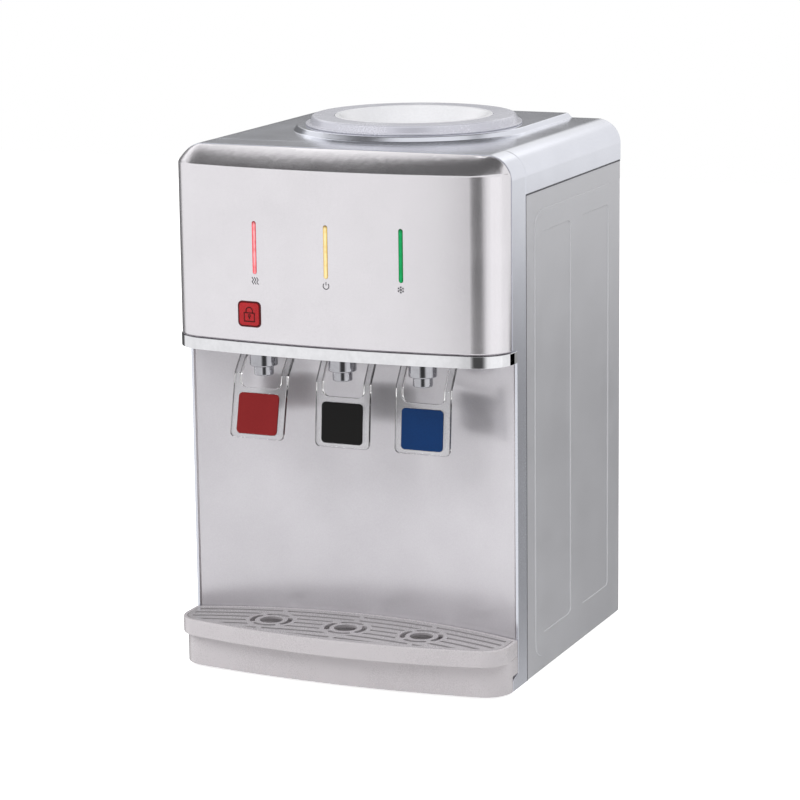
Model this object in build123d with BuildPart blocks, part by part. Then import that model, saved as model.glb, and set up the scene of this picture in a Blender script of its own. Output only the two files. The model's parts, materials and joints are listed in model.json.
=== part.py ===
# Countertop water dispenser with a bottle seat and hot, room-temperature and cold taps.
# Millimetres. +X is the right of the front, +Y the back, +Z up.
# The origin is on the table, under the middle of the overall box.
from build123d import *
import os
from math import asin, cos, pi, radians, sin, sqrt

os.makedirs("parts", exist_ok=True)

# Body
body_width = 310.0
body_depth = 264.0
jamb_depth = 21.15
foot_height = 3.0
foot_radius = 10.0
foot_inset = 32.0
foot_chamfer = 1.0
shoulder_height = 464.5
shoulder_radius = 22.0
cover_depth = 37.1
deck_rise = 4.5
wall = 2.5
sheet = 1.0
flange = 10.0
panel_inset = 0.8
panel_gap = 0.6
seam = 0.4
slip = 0.3
run = 0.05

# Upper front
fascia_reach = 48.0
fascia_bow = 13.4
corner_radius = 32.0
crease_drop = 15.0
bevel_lead = 0.56
joint_lip = 0.4
bevel_spare = 8.0
bevel_steps = 8
hood_lap = 11.0
trim_low = 287.4
trim_height = 11.2
trim_seat = 1.2
trim_proud = 0.8
trim_end = 2.0
trim_groove = 0.9

# Lower front
panel_hollow = 29.0
panel_lap = 9.6
tray_reach = 60.5
tray_bow = 19.7
tray_corner = 24.0
tray_low = 28.5
tray_height = 14.8
tray_floor = 2.0
tray_rim = 3.5
ledge = 2.0
plinth_reach = 48.0
plinth_bow = 13.3
plinth_corner = 25.0
toe_reach = 13.0
toe_height = 11.0
apron_gap = 1.6

# Drip grille
grille_thick = 2.4
row_pitch = 11.1
row_first = 12.5
row_count = 7
row_width = 4.0
row_margin = 4.5
row_bridge = 5.0
ring_shift = 3.0
ring_reach = 19.0
ring_hole = 10.2
ring_arc = 16.8
ring_arc_width = 4.4
ring_arc_sweep = 62.0
ring_arcs = 4
ring_plate = 23.0

# Embossed side panels
field_rise = 0.8
field_front = 21.0
field_rear = 16.0
field_foot = 12.8
field_head = 17.4
field_corner = 16.0
pane_inset = 15.8
pane_foot = 20.2
pane_head = 19.0
pane_gap = 26.2
pane_corner = 6.0
emboss_slope = 40.0

# Bottle seat
collar_inset = 118.0
collar_rise = 8.0
collar_radius = 92.0
collar_flare = 1.2
collar_foot = 4.0
collar_foot_thick = 1.6
deck_radius = 108.0
deck_slope = 35.0
seat_hole = 66.0
funnel_rim = 71.0
funnel_rim_thick = 1.6
funnel_mouth = 68.0
funnel_wall = 2.2
well_radius = 30.0
bowl_depth = 29.5
well_depth = 21.5
drip_spigot = 10.0
spigot_length = 10.0
neck_height = 6.0
probe_base = 3.0
probe_radius = 9.0
probe_bore = 5.0
probe_length = 32.0
probe_tip = 6.0
probe_tip_radius = 4.0
probe_port = 2.5

# Lights and child lock
light_pitch = 68.2
light_rise = 70.6
light_length = 46.0
light_width = 4.0
light_proud = 0.4
light_flange = 3.0
light_flange_thick = 1.5
lock_x = -74.3
lock_rise = 35.4
lock_size = 19.6
lock_corner = 3.0
lock_proud = 0.9
lock_travel = 2.0
bezel_width = 1.3
bezel_proud = 0.5
bezel_depth = 6.0
board_gap = 11.0
board_thick = 1.6
board_margin = 10.0
board_boss = 3.5
lamp_radius = 2.5
lamp_count = 3
switch_size = 6.0
switch_rise = 2.5

# Taps and levers
tap_pitch = 75.2
tap_reach = 17.0
spout_drop = 22.9
tip_length = 8.5
tip_radius = 8.6
tip_round = 1.2
spout_radius = 12.3
spout_length = 25.0
spout_bore = 6.0
tap_radius = 11.5
chamber_radius = 8.0
lower_chamber = 9.5
seat_thick = 3.0
seat_radius = 5.5
upper_chamber = 15.0
guide_length = 6.0
stem_radius = 3.0
head_radius = 7.0
head_thick = 3.0
boot_length = 13.0
boot_radius = 6.5
boot_wall = 1.2
boot_folds = 3
cap_radius = 7.0
cap_thick = 3.0
shank_rise = 19.0
shank_radius = 7.0
shank_bore = 2.0
barb_length = 18.0
washer_radius = 13.0
washer_thick = 3.0
nut_radius = 11.0
nut_thick = 5.0
thread_radius = 8.0
pivot_set = 12.0
pivot_rise = 24.6
pivot_boss = 5.5
pivot_span = 37.0
pin_radius = 2.0
pin_grip = 9.0
pin_head = 3.5
pin_head_thick = 1.5
lever_width = 51.0
arm_width = 6.0
arm_thick = 5.0
arm_eye = 5.0
bend_set = 27.0
bend_drop = 50.0
knee_drop = 9.5
nose_radius = 2.5
nose_touch = 0.1
paddle_lean = 4.7
hot_swing = 7.8
paddle_thick = 4.5
paddle_length = 57.0
paddle_height = 44.4
paddle_corner = 4.5
window_corner = 6.0
pad_width = 38.6
pad_height = 35.7
pad_corner = 3.5
pad_rise = 3.8
pad_sink = 2.0
pad_proud = 0.3
pad_slip = 0.15
bay_front = 15.0
bay_back = 33.0
bay_width = 60.0
cover_set = 1.0
bulkhead_gap = 0.5
bulkhead_lap = 3.0
bulkhead_thick = 1.5

# Cold side
tank_radius = 50.0
tank_wall = 1.5
tank_depth = 97.4
tank_flange = 76.0
tank_hanger = 71.5
foam = 15.0
foam_floor = 11.0
port_grip = 8.0
cold_port = (25.0, -36.0)
feed_port = (2.0, 4.0)
ambient_port_drop = 27.4
block_size = 40.0
block_drop = 57.4
block_reach = 24.0
sink_size = 90.0
sink_base = 5.0
fin_length = 20.0
fin_thick = 1.5
fin_count = 13
fan_size = 92.0
fan_depth = 12.0
fan_bore = 42.5
fan_hub = 17.0
fan_reach = 41.0
fan_blades = 7
blade_chord = 11.0
blade_tilt = 35.0
blade_thick = 1.6
fan_strut = 5.0
fan_struts = 4
fan_back = 2.5
fan_shaft = 2.0
fan_corner = 5.0

# Hot side and base
hot_radius = 40.0
hot_low = 100.0
hot_height = 130.0
hot_set = 150.0
hot_foam = 9.0
hot_feed_height = 115.0
leg_radius = 4.0
leg_ring = 30.0
leg_count = 3
hose_radius = 5.0
hose_bore = 3.0
hose_bend = 14.0
ambient_riser = 58.0
cold_drop = 62.0
cold_dip = 34.5
pan_floor = 2.0
pan_rim = 12.0
supply_inset = 70.0
supply_set = 120.0
supply_width = 110.0
supply_depth = 120.0
supply_stand = 10.0
supply_post = 4.0
module_width = 60.0
module_depth = 80.0
module_height = 32.0

# Back
vent_length = 60.0
vent_width = 4.0
vent_pitch = 9.0
vent_rows = 9
low_vent_height = 200.0
low_vent_columns = 3
rocker_inset = 43.0
rocker_pitch = 24.0
rocker_height = 120.0
rocker_width = 10.0
rocker_radius = 8.4
rocker_face = 3.0
rocker_heel = 4.0
rocker_tilt = 10.0
rocker_sink = 1.0
switch_width = 12.6
switch_height = 18.8
switch_depth = 18.0
switch_lip = 1.3
switch_lip_thick = 1.5
switch_well = 8.0
switch_pin = 1.5
gland_height = 45.0
gland_radius = 7.0
gland_lip = 3.0
gland_lip_thick = 3.0
gland_snap = 1.2
gland_length = 9.0
gland_bore = 3.6
drain_height = 45.0
drain_radius = 9.0
drain_bore = 5.0
drain_inner = 6.0
drain_outer = 10.0
drain_nut = 12.5
drain_nut_thick = 3.0
cap_wall = 2.5
cap_end = 3.5
cap_skirt = 8.5
screw_radius = 1.6
screw_head = 3.4
screw_head_thick = 2.0
screw_length = 6.0
screw_foot = 60.0
screw_top_gap = 37.4
screw_rows = 4

# Places worked out from the sizes above
half = body_width / 2
drain_reach = drain_outer + cap_end
jamb_y = tray_reach - (tray_reach + body_depth + drain_reach) / 2
fascia_y = jamb_y - fascia_reach
joint_y = jamb_y - hood_lap
seam_y = jamb_y + jamb_depth
back_y = jamb_y + body_depth
rear_y = back_y - sheet
collar_y = back_y - collar_inset
tap_y = jamb_y - tap_reach
floor_z = foot_height
top_z = floor_z + shoulder_height
deck_z = top_z + deck_rise
rim_z = deck_z + collar_rise
side_top_z = top_z - cover_depth
crease_z = top_z - crease_drop
trim_z = floor_z + trim_low
panel_top_z = trim_z + panel_lap
tray_z = floor_z + tray_low
tray_top_z = tray_z + tray_height
panel_curve = (half**2 + panel_hollow**2) / (2 * panel_hollow)
bow_radius = (half**2 + fascia_bow**2) / (2 * fascia_bow)
side_face = half - panel_inset
taps = {"hot": -tap_pitch, "ambient": 0.0, "cold": tap_pitch}
swings = {"hot": -hot_swing, "ambient": 0.0, "cold": 0.0}


def save(block, name):
    block.part.label = name
    export_step(block.part, f"parts/{name}.step")


def panel_y(x, ahead=0.0):
    # depth of the hollow front panel's face at x, moved ahead of it
    return jamb_y + panel_hollow - ahead - panel_curve + sqrt(panel_curve**2 - x**2)


def panel_arc(reach, ahead=0.0):
    # arc along the hollow panel's face, from reach on the left to reach on the right
    side = panel_y(reach, ahead)
    return ThreePointArc((-reach, side), (0, panel_y(0, ahead)), (reach, side))


def front_view(inset, low):
    # body seen from the front, with round shoulders, drawn in by inset
    with BuildSketch(mode=Mode.PRIVATE) as view:
        with Locations((0, (low + top_z - inset) / 2)):
            Rectangle(2 * (half - inset), top_z - inset - low)
        fillet(vertices().group_by(Axis.Y)[-1], shoulder_radius - inset)
    return view.sketch


def hood_y(x, inset=0.0):
    # depth of the bowed upper front at x, drawn in by inset
    return fascia_y + bow_radius - sqrt((bow_radius - inset) ** 2 - x**2)


def hood_plan(inset):
    # upper front seen from above: bowed, with round front corners
    edge = half - inset
    side = hood_y(edge, inset)
    with BuildSketch(mode=Mode.PRIVATE) as plan:
        with BuildLine():
            ThreePointArc((-edge, side), (0, hood_y(0, inset)), (edge, side))
            Polyline((edge, side), (edge, seam_y), (-edge, seam_y), (-edge, side))
        make_face()
        fillet(vertices().sort_by(Axis.Y)[:2], corner_radius - inset)
    return plan.sketch


def front_plane(x, z):
    # plane on the bowed front at x and z, facing out
    turn = asin(x / bow_radius)
    return Plane((x, hood_y(x), z), x_dir=(cos(turn), sin(turn), 0), z_dir=(sin(turn), -cos(turn), 0))


def apron_plan(reach, bow, corner, inset=0.0):
    # foot and tray seen from above: bowed nose, round corners, back along the hollow panel
    nose = jamb_y - reach
    heel = jamb_y - apron_gap
    with BuildSketch(mode=Mode.PRIVATE) as plan:
        with BuildLine():
            ThreePointArc((-half, nose + bow), (0, nose), (half, nose + bow))
            Line((half, nose + bow), (half, heel))
            ThreePointArc((half, heel), (0, panel_y(0, seam)), (-half, heel))
            Line((-half, heel), (-half, nose + bow))
        make_face()
        fillet(vertices().sort_by(Axis.Y)[:2], corner)
        if inset:
            offset(amount=-inset, mode=Mode.REPLACE)
    return plan.sketch


def bevel_row(x, y, inset):
    # points of the bevel at x, from behind the joint to past the crease at depth y
    roof = top_z - inset
    round_x = max(abs(x) - (half - shoulder_radius), 0)
    arch = sqrt(max((shoulder_radius - inset) ** 2 - round_x**2, 0))
    crease = crease_z - inset / 2
    top = max(roof - shoulder_radius + inset + arch - joint_lip, crease + slip)
    row = []
    for step in range(-1, bevel_steps + 3):
        share = step / bevel_steps
        fall = (bevel_lead + (1 - bevel_lead) * share) * share
        row.append((x, joint_y + (y - joint_y) * share, top + (crease - top) * fall))
    return row


def bevel_face(inset):
    # bevel between the straight joint and a crease that keeps its height round the bowed front
    radius = corner_radius - inset
    centre_x = half - corner_radius
    centre_y = fascia_y + bow_radius - sqrt((bow_radius - corner_radius) ** 2 - centre_x**2)
    start = asin(centre_x / (bow_radius - corner_radius))
    rows = []
    for step in range(bevel_steps):
        turn = start * step / bevel_steps
        reach = bow_radius - inset
        rows.append((reach * sin(turn), fascia_y + bow_radius - reach * cos(turn)))
    for step in range(bevel_steps + 1):
        turn = start + (pi / 2 - start) * step / bevel_steps
        rows.append((centre_x + radius * sin(turn), centre_y - radius * cos(turn)))
    rows.append((half - inset + bevel_spare, centre_y))
    grid = [bevel_row(-x, y, inset) for x, y in rows[:0:-1]]
    grid += [bevel_row(x, y, inset) for x, y in rows]
    return Face.make_surface_from_array_of_points([[Vector(*p) for p in row] for row in grid])


def hood_block(inset, low):
    # solid of the upper front: plan and front view in common, less the bevel
    roof = top_z - inset
    with BuildPart() as block:
        with BuildSketch(Plane.XY.offset(low)):
            add(hood_plan(inset))
        extrude(amount=roof - low)
        with BuildSketch(Plane.XZ.offset(-seam_y)):
            add(front_view(inset, low))
        extrude(amount=seam_y - fascia_y - inset, mode=Mode.INTERSECT)
        extrude(bevel_face(inset), amount=crease_drop + bevel_spare, dir=(0, 0, 1), mode=Mode.SUBTRACT)
    return block.part


# Fascia: the shell in front of the hoop, cut for the lights and the lock
hood = hood_block(0, trim_z)
hood_void = hood_block(wall, trim_z - wall)
trim_cut = hood_plan(-wall)
trim_bed = hood_plan(trim_seat)
light_z = trim_z + light_rise + light_length / 2
lock_z = trim_z + lock_rise
bezel_hole = lock_size + 2 * slip + 2 * bezel_width
board_y = fascia_y + wall + board_gap
board_low = lock_z - bezel_hole / 2 - board_margin
board_high = light_z + light_length / 2 + board_margin
board_wide = 2 * (light_pitch + board_margin + bezel_hole)
boss_x = board_wide / 2 - board_boss
boss_z = (board_high - board_low) / 2 - board_boss
board_z = (board_high + board_low) / 2

with BuildPart() as fascia:
    add(hood)
    add(hood_void, mode=Mode.SUBTRACT)
    with BuildSketch(Plane.XY.offset(trim_z)):
        add(trim_cut)
        add(trim_bed, mode=Mode.SUBTRACT)
    extrude(amount=trim_height, mode=Mode.SUBTRACT)
    split(bisect_by=Plane.XZ.offset(-joint_y), keep=Keep.TOP)
    for x in (-light_pitch, 0, light_pitch):
        with BuildSketch(front_plane(x, light_z)):
            SlotOverall(light_length, light_width, rotation=90)
        extrude(amount=wall + slip, both=True, mode=Mode.SUBTRACT)
    with BuildSketch(front_plane(lock_x, lock_z)):
        RectangleRounded(bezel_hole, bezel_hole, lock_corner + bezel_width)
    extrude(amount=wall + slip, both=True, mode=Mode.SUBTRACT)
    with BuildSketch(Plane.XZ.offset(-board_y)):
        with Locations((0, board_z)):
            with GridLocations(2 * boss_x, 2 * boss_z, 2, 2):
                Circle(board_boss)
    extrude(amount=board_y - hood_y(boss_x) - wall / 2)
save(fascia, "fascia")

# Front frame: hoop behind the fascia, jambs to the floor, toes and an inner flange
frame_outer = front_view(0, floor_z)
frame_inner = front_view(wall, floor_z - wall)
frame_flange = front_view(wall + flange, floor_z - wall)
pan_top_z = floor_z + pan_rim
with BuildPart() as front_frame:
    with BuildSketch(Plane.XZ.offset(-seam_y)):
        add(frame_outer)
        add(frame_inner, mode=Mode.SUBTRACT)
    extrude(amount=seam_y - joint_y - seam)
    with BuildSketch(Plane.YZ):
        with BuildLine():
            Polyline(
                (jamb_y, trim_z),
                (jamb_y, floor_z + toe_height + wall),
                (jamb_y - toe_reach + wall, floor_z + toe_height),
                (jamb_y - toe_reach, floor_z + toe_height - wall),
                (jamb_y - toe_reach, floor_z - wall),
                (joint_y - toe_reach, floor_z - wall),
                (joint_y - toe_reach, trim_z),
                close=True,
            )
        make_face()
    extrude(amount=half, both=True, mode=Mode.SUBTRACT)
    with BuildSketch(Plane.YZ):
        with BuildLine():
            Polyline(
                (jamb_y, floor_z),
                (jamb_y, floor_z + toe_height + wall),
                (jamb_y - toe_reach + wall, floor_z + toe_height),
                (jamb_y - toe_reach, floor_z + toe_height - wall),
                (jamb_y - toe_reach, floor_z),
                close=True,
            )
        make_face()
    extrude(amount=half, both=True)
    with BuildSketch(Plane.XZ.offset(-jamb_y)):
        add(frame_inner)
    extrude(amount=toe_reach, mode=Mode.SUBTRACT)
    with BuildSketch(Plane.XZ.offset(-seam_y)):
        add(frame_inner)
        add(frame_flange, mode=Mode.SUBTRACT)
        with Locations((0, floor_z)):
            Rectangle(body_width, 2 * (pan_rim + slip), mode=Mode.SUBTRACT)
    extrude(amount=wall)
    with BuildSketch(Plane.XY.offset(trim_z)):
        add(trim_cut)
        add(trim_bed, mode=Mode.SUBTRACT)
        with Locations((0, jamb_y - trim_end + slip)):
            Rectangle(2 * body_width, body_depth, align=(Align.CENTER, Align.MIN), mode=Mode.SUBTRACT)
    extrude(amount=trim_height, mode=Mode.SUBTRACT)
save(front_frame, "front_frame")

# Chrome band round the hood's lower edge
trim_outer = hood_plan(-trim_proud)
trim_inner = hood_plan(trim_seat - slip)
with BuildPart() as chrome_trim:
    with BuildSketch(Plane.XY.offset(trim_z)):
        add(trim_outer)
        add(trim_inner, mode=Mode.SUBTRACT)
        with Locations((0, jamb_y - trim_end)):
            Rectangle(2 * body_width, body_depth, align=(Align.CENTER, Align.MIN), mode=Mode.SUBTRACT)
    extrude(amount=trim_height - trim_groove)
save(chrome_trim, "chrome_trim")

# Underside of the tap bay, open round each tap and its lever
bay_plan = hood_plan(wall + slip)
bay_edge = half - wall - slip
with BuildPart() as tap_bay_cover:
    with BuildSketch(Plane.XY.offset(trim_z + cover_set)):
        add(bay_plan)
        with BuildLine():
            rear_edge = panel_arc(bay_edge, slip)
            Polyline(rear_edge @ 1, (bay_edge, back_y), (-bay_edge, back_y), rear_edge @ 0)
        make_face(mode=Mode.SUBTRACT)
        with Locations(*[(x, tap_y - bay_front) for x in taps.values()]):
            Rectangle(bay_width, bay_front + bay_back, align=(Align.CENTER, Align.MIN), mode=Mode.SUBTRACT)
    extrude(amount=wall)
save(tap_bay_cover, "tap_bay_cover")

# Hollow front panel behind the levers
panel_low_z = floor_z + slip
with BuildPart() as lower_front_panel:
    with BuildSketch(Plane.XY.offset(panel_low_z)):
        with BuildLine():
            face = panel_arc(bay_edge)
            lining = panel_arc(bay_edge, -wall)
            Line(face @ 0, lining @ 0)
            Line(face @ 1, lining @ 1)
        make_face()
    extrude(amount=panel_top_z - panel_low_z)
save(lower_front_panel, "lower_front_panel")

# Steel side panels with a raised field and two sunk panes
side_y = seam_y + panel_gap
field_depth = rear_y - side_y - field_front - field_rear
field_y = side_y + field_front + field_depth / 2
field_low = floor_z + field_foot
field_high = side_top_z - field_head
field_z = (field_low + field_high) / 2
pane_depth = (field_depth - 2 * pane_inset - pane_gap) / 2
pane_low = field_low + pane_foot
pane_high = field_high - pane_head
pane_z = (pane_low + pane_high) / 2
screw_x = side_face - sheet - flange / 2
screw_low = floor_z + screw_foot
screw_pitch = (side_top_z - screw_top_gap - screw_low) / (screw_rows - 1)
screw_spots = []
for side in (-1, 1):
    screw_spots += [(side * screw_x, screw_low + row * screw_pitch) for row in range(screw_rows)]
with BuildPart() as right_side_panel:
    with BuildSketch(Plane.YZ.offset(side_face - sheet)):
        with Locations((side_y, floor_z)):
            Rectangle(rear_y - side_y, side_top_z - floor_z, align=(Align.MIN, Align.MIN))
    extrude(amount=sheet)
    with BuildSketch(Plane.YZ.offset(side_face)):
        with Locations((field_y, field_z)):
            RectangleRounded(field_depth, field_high - field_low, field_corner)
    extrude(amount=field_rise, taper=emboss_slope)
    with BuildSketch(Plane.YZ.offset(side_face + field_rise)):
        with Locations((field_y, pane_z)):
            with GridLocations(pane_depth + pane_gap, 1, 2, 1):
                RectangleRounded(pane_depth, pane_high - pane_low, pane_corner)
    extrude(amount=-field_rise, taper=emboss_slope, mode=Mode.SUBTRACT)
    with BuildSketch(Plane.XY.offset(pan_top_z + slip)):
        with Locations((side_face, side_y)):
            Rectangle(flange, sheet, align=(Align.MAX, Align.MIN))
        with Locations((side_face, rear_y)):
            Rectangle(sheet + flange, sheet, align=(Align.MAX, Align.MAX))
    extrude(amount=side_top_z - pan_top_z - slip)
    with BuildSketch(Plane.XZ.offset(-rear_y)):
        with Locations(*[spot for spot in screw_spots if spot[0] > 0]):
            Circle(screw_radius + run)
    extrude(amount=sheet, mode=Mode.SUBTRACT)
save(right_side_panel, "right_side_panel")

with BuildPart() as left_side_panel:
    mirror(right_side_panel.part, about=Plane.YZ)
save(left_side_panel, "left_side_panel")

# Rear panel with vents, switch holes, cord hole and drain hole
block_z = side_top_z - block_drop
rocker_x = half - rocker_inset
drain_x = -tap_pitch
drain_z = floor_z + drain_height
gland_z = floor_z + gland_height
rocker_z = floor_z + rocker_height
rocker_spots = [(rocker_x - rocker_pitch / 2, rocker_z), (rocker_x + rocker_pitch / 2, rocker_z)]
with BuildPart() as rear_panel:
    with BuildSketch(Plane.XZ.offset(-back_y)):
        with Locations((0, floor_z)):
            Rectangle(2 * side_face, side_top_z - floor_z, align=(Align.CENTER, Align.MIN))
        with Locations((0, block_z)):
            with GridLocations(0, vent_pitch, 1, vent_rows):
                SlotOverall(sink_size, vent_width, mode=Mode.SUBTRACT)
        with Locations((0, floor_z + low_vent_height)):
            with GridLocations(vent_length + vent_pitch, vent_pitch, low_vent_columns, vent_rows):
                SlotOverall(vent_length, vent_width, mode=Mode.SUBTRACT)
        with Locations(*rocker_spots):
            Rectangle(switch_width + slip, switch_height + slip, mode=Mode.SUBTRACT)
        with Locations((rocker_x, gland_z)):
            Circle(gland_radius + run, mode=Mode.SUBTRACT)
        with Locations((drain_x, drain_z)):
            Circle(drain_radius + run, mode=Mode.SUBTRACT)
        with Locations(*screw_spots):
            Circle(screw_radius + run, mode=Mode.SUBTRACT)
    extrude(amount=sheet)
save(rear_panel, "rear_panel")

with BuildPart() as panel_screws:
    with BuildSketch(Plane.XZ.offset(-back_y)):
        with Locations(*screw_spots):
            Circle(screw_head)
    extrude(amount=-screw_head_thick)
    fillet(faces().sort_by(Axis.Y)[-len(screw_spots):].edges(), screw_head_thick / 2)
    with BuildSketch(Plane.XZ.offset(-back_y)):
        with Locations(*screw_spots):
            Circle(screw_radius)
    extrude(amount=screw_length)
save(panel_screws, "panel_screws")

# Top cover: shell with round shoulders, raised deck and the bottle seat's hole
tank_top_z = side_top_z
cover_outer = front_view(0, side_top_z)
cover_inner = front_view(wall, side_top_z - wall)


def deck_plan(inset):
    # deck seen from above: round in front of the collar, straight to the back
    with BuildSketch(mode=Mode.PRIVATE) as plan:
        with Locations((0, collar_y)):
            Circle(deck_radius - inset)
            Rectangle(2 * (deck_radius - inset), back_y - collar_y - inset, align=(Align.CENTER, Align.MIN))
    return plan.sketch


deck_outer = deck_plan(0)
deck_inner = deck_plan(deck_rise + wall)
with BuildPart() as top_cover:
    with BuildSketch(Plane.XZ.offset(-back_y)):
        add(cover_outer)
    extrude(amount=back_y - seam_y - seam)
    with BuildSketch(Plane.XY.offset(top_z)):
        add(deck_outer)
    extrude(amount=deck_rise, taper=deck_slope)
    with BuildSketch(Plane.XZ.offset(wall - back_y)):
        add(cover_inner)
    extrude(amount=back_y - seam_y, mode=Mode.SUBTRACT)
    with BuildSketch(Plane.XY.offset(top_z - wall)):
        add(deck_inner)
    extrude(amount=deck_rise, mode=Mode.SUBTRACT)
    with BuildSketch(Plane.XY.offset(tank_top_z)):
        with Locations((0, collar_y)):
            Circle(tank_hanger + wall)
    extrude(amount=deck_z - tank_top_z - wall / 2)
    with BuildSketch(Plane.XY.offset(tank_top_z)):
        with Locations((0, collar_y)):
            Circle(tank_hanger)
    extrude(amount=deck_z - tank_top_z - wall, mode=Mode.SUBTRACT)
    with BuildSketch(Plane.XY.offset(deck_z)):
        with Locations((0, collar_y)):
            Circle(seat_hole)
    extrude(amount=-wall, mode=Mode.SUBTRACT)
save(top_cover, "top_cover")

# Bottle seat: collar ring and white funnel
seat_axis = Axis((0, collar_y, 0), (0, 0, 1))
seat_plane = Plane.XZ.offset(-collar_y)
ledge_z = rim_z - funnel_rim_thick
collar_base = collar_radius + collar_flare
with BuildPart() as bottle_collar:
    with BuildSketch(seat_plane):
        with BuildLine():
            Polyline(
                (collar_base + collar_foot, deck_z),
                (collar_base + collar_foot, deck_z + collar_foot_thick),
                (collar_base, deck_z + collar_foot_thick),
                (collar_radius, rim_z - wall / 2),
                (collar_radius - wall / 2, rim_z),
                (funnel_rim + slip, rim_z),
                (funnel_rim + slip, ledge_z),
                (funnel_mouth + slip, ledge_z),
                (funnel_mouth + slip, ledge_z - wall),
                (collar_radius - wall, ledge_z - wall),
                (collar_base - wall, deck_z),
                close=True,
            )
        make_face()
    revolve(axis=seat_axis)
save(bottle_collar, "bottle_collar")

well_top_z = rim_z - bowl_depth
well_z = well_top_z - well_depth
well_out = well_radius + funnel_wall
neck_radius = well_out + slip
cup_top_z = well_top_z - funnel_wall
with BuildPart() as bottle_funnel:
    with BuildSketch(seat_plane):
        with BuildLine():
            Polyline(
                (funnel_mouth - funnel_wall / 2, rim_z),
                (funnel_rim, rim_z),
                (funnel_rim, ledge_z),
                (funnel_mouth, ledge_z),
                (neck_radius + funnel_wall, well_top_z),
                (neck_radius + funnel_wall, well_top_z - neck_height),
                (neck_radius, well_top_z - neck_height),
                (neck_radius, cup_top_z),
                (well_radius, cup_top_z),
                (well_radius, well_top_z),
                close=True,
            )
        make_face()
    revolve(axis=seat_axis)
save(bottle_funnel, "bottle_funnel")

# Probe in a cup that screws into the funnel's neck
probe_z = well_z + probe_length
cup_z = well_z - probe_base
with BuildPart() as feed_probe:
    with BuildSketch(seat_plane):
        with BuildLine():
            Polyline(
                (probe_bore, cup_z - spigot_length),
                (drip_spigot, cup_z - spigot_length),
                (drip_spigot, cup_z),
                (well_out, cup_z),
                (well_out, cup_top_z),
                (well_radius, cup_top_z),
                (well_radius, well_z),
                (probe_radius, well_z),
                (probe_radius, probe_z),
                (probe_tip_radius, probe_z + probe_tip),
                (0, probe_z + probe_tip),
                (0, probe_z - probe_port),
                (probe_bore, probe_z - probe_port),
                close=True,
            )
        make_face()
    revolve(axis=seat_axis)
    port_z = probe_z - 2 * probe_port - wall
    for port_plane in (Plane.YZ, seat_plane):
        with BuildSketch(port_plane):
            with Locations((collar_y if port_plane is Plane.YZ else 0, port_z)):
                Circle(probe_port)
        extrude(amount=probe_radius, both=True, mode=Mode.SUBTRACT)
save(feed_probe, "feed_probe")

# Plinth, drip tray and grille
plinth_outer = apron_plan(plinth_reach, plinth_bow, plinth_corner)
plinth_inner = apron_plan(plinth_reach, plinth_bow, plinth_corner, wall)
with BuildPart() as base_plinth:
    with BuildSketch(Plane.XY.offset(floor_z)):
        add(plinth_outer)
    extrude(amount=tray_low)
    with BuildSketch(Plane.XY.offset(floor_z)):
        add(plinth_inner)
    extrude(amount=tray_low - wall, mode=Mode.SUBTRACT)
    with BuildSketch(Plane.XY.offset(floor_z)):
        with Locations((-half, jamb_y - toe_reach - seam), (half, jamb_y - toe_reach - seam)):
            Rectangle(2 * (wall + slip), 2 * toe_reach, align=(Align.CENTER, Align.MIN))
    extrude(amount=toe_height + wall + seam, mode=Mode.SUBTRACT)
save(base_plinth, "base_plinth")

tray_outer = apron_plan(tray_reach, tray_bow, tray_corner)
tray_mouth = apron_plan(tray_reach, tray_bow, tray_corner, tray_rim)
tray_inner = apron_plan(tray_reach, tray_bow, tray_corner, tray_rim + ledge)
grille_outer = apron_plan(tray_reach, tray_bow, tray_corner, tray_rim + slip)
grille_slots_area = apron_plan(tray_reach, tray_bow, tray_corner, tray_rim + row_margin)
grille_z = tray_top_z - grille_thick
with BuildPart() as drip_tray:
    with BuildSketch(Plane.XY.offset(tray_z)):
        add(tray_outer)
    extrude(amount=tray_height)
    with BuildSketch(Plane.XY.offset(grille_z)):
        add(tray_mouth)
    extrude(amount=grille_thick, mode=Mode.SUBTRACT)
    with BuildSketch(Plane.XY.offset(tray_z + tray_floor)):
        add(tray_inner)
    extrude(amount=tray_height, mode=Mode.SUBTRACT)
save(drip_tray, "drip_tray")

ring_spots = [(x - ring_shift * x / tap_pitch, jamb_y - ring_reach) for x in taps.values()]
ring_edge = Edge.make_circle(ring_arc, start_angle=-ring_arc_sweep / 2, end_angle=ring_arc_sweep / 2)
with BuildPart() as drip_grille:
    with BuildSketch(Plane.XY.offset(grille_z)):
        add(grille_outer)
    extrude(amount=grille_thick)
    with BuildSketch(Plane.XY.offset(grille_z)):
        for row in range(row_count):
            near = row_first + row * row_pitch - row_width / 2
            far = near + row_width
            with BuildLine():
                near_side = panel_arc(half, near)
                far_side = panel_arc(half, far)
                Line(near_side @ 0, far_side @ 0)
                Line(near_side @ 1, far_side @ 1)
            make_face()
        add(grille_slots_area, mode=Mode.INTERSECT)
        with Locations(*ring_spots):
            Circle(ring_plate, mode=Mode.SUBTRACT)
            Rectangle(row_bridge, 2 * body_depth, mode=Mode.SUBTRACT)
            Circle(ring_hole)
            with PolarLocations(0, ring_arcs):
                SlotArc(ring_edge, ring_arc_width)
    extrude(amount=grille_thick, mode=Mode.SUBTRACT)
save(drip_grille, "drip_grille")

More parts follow.
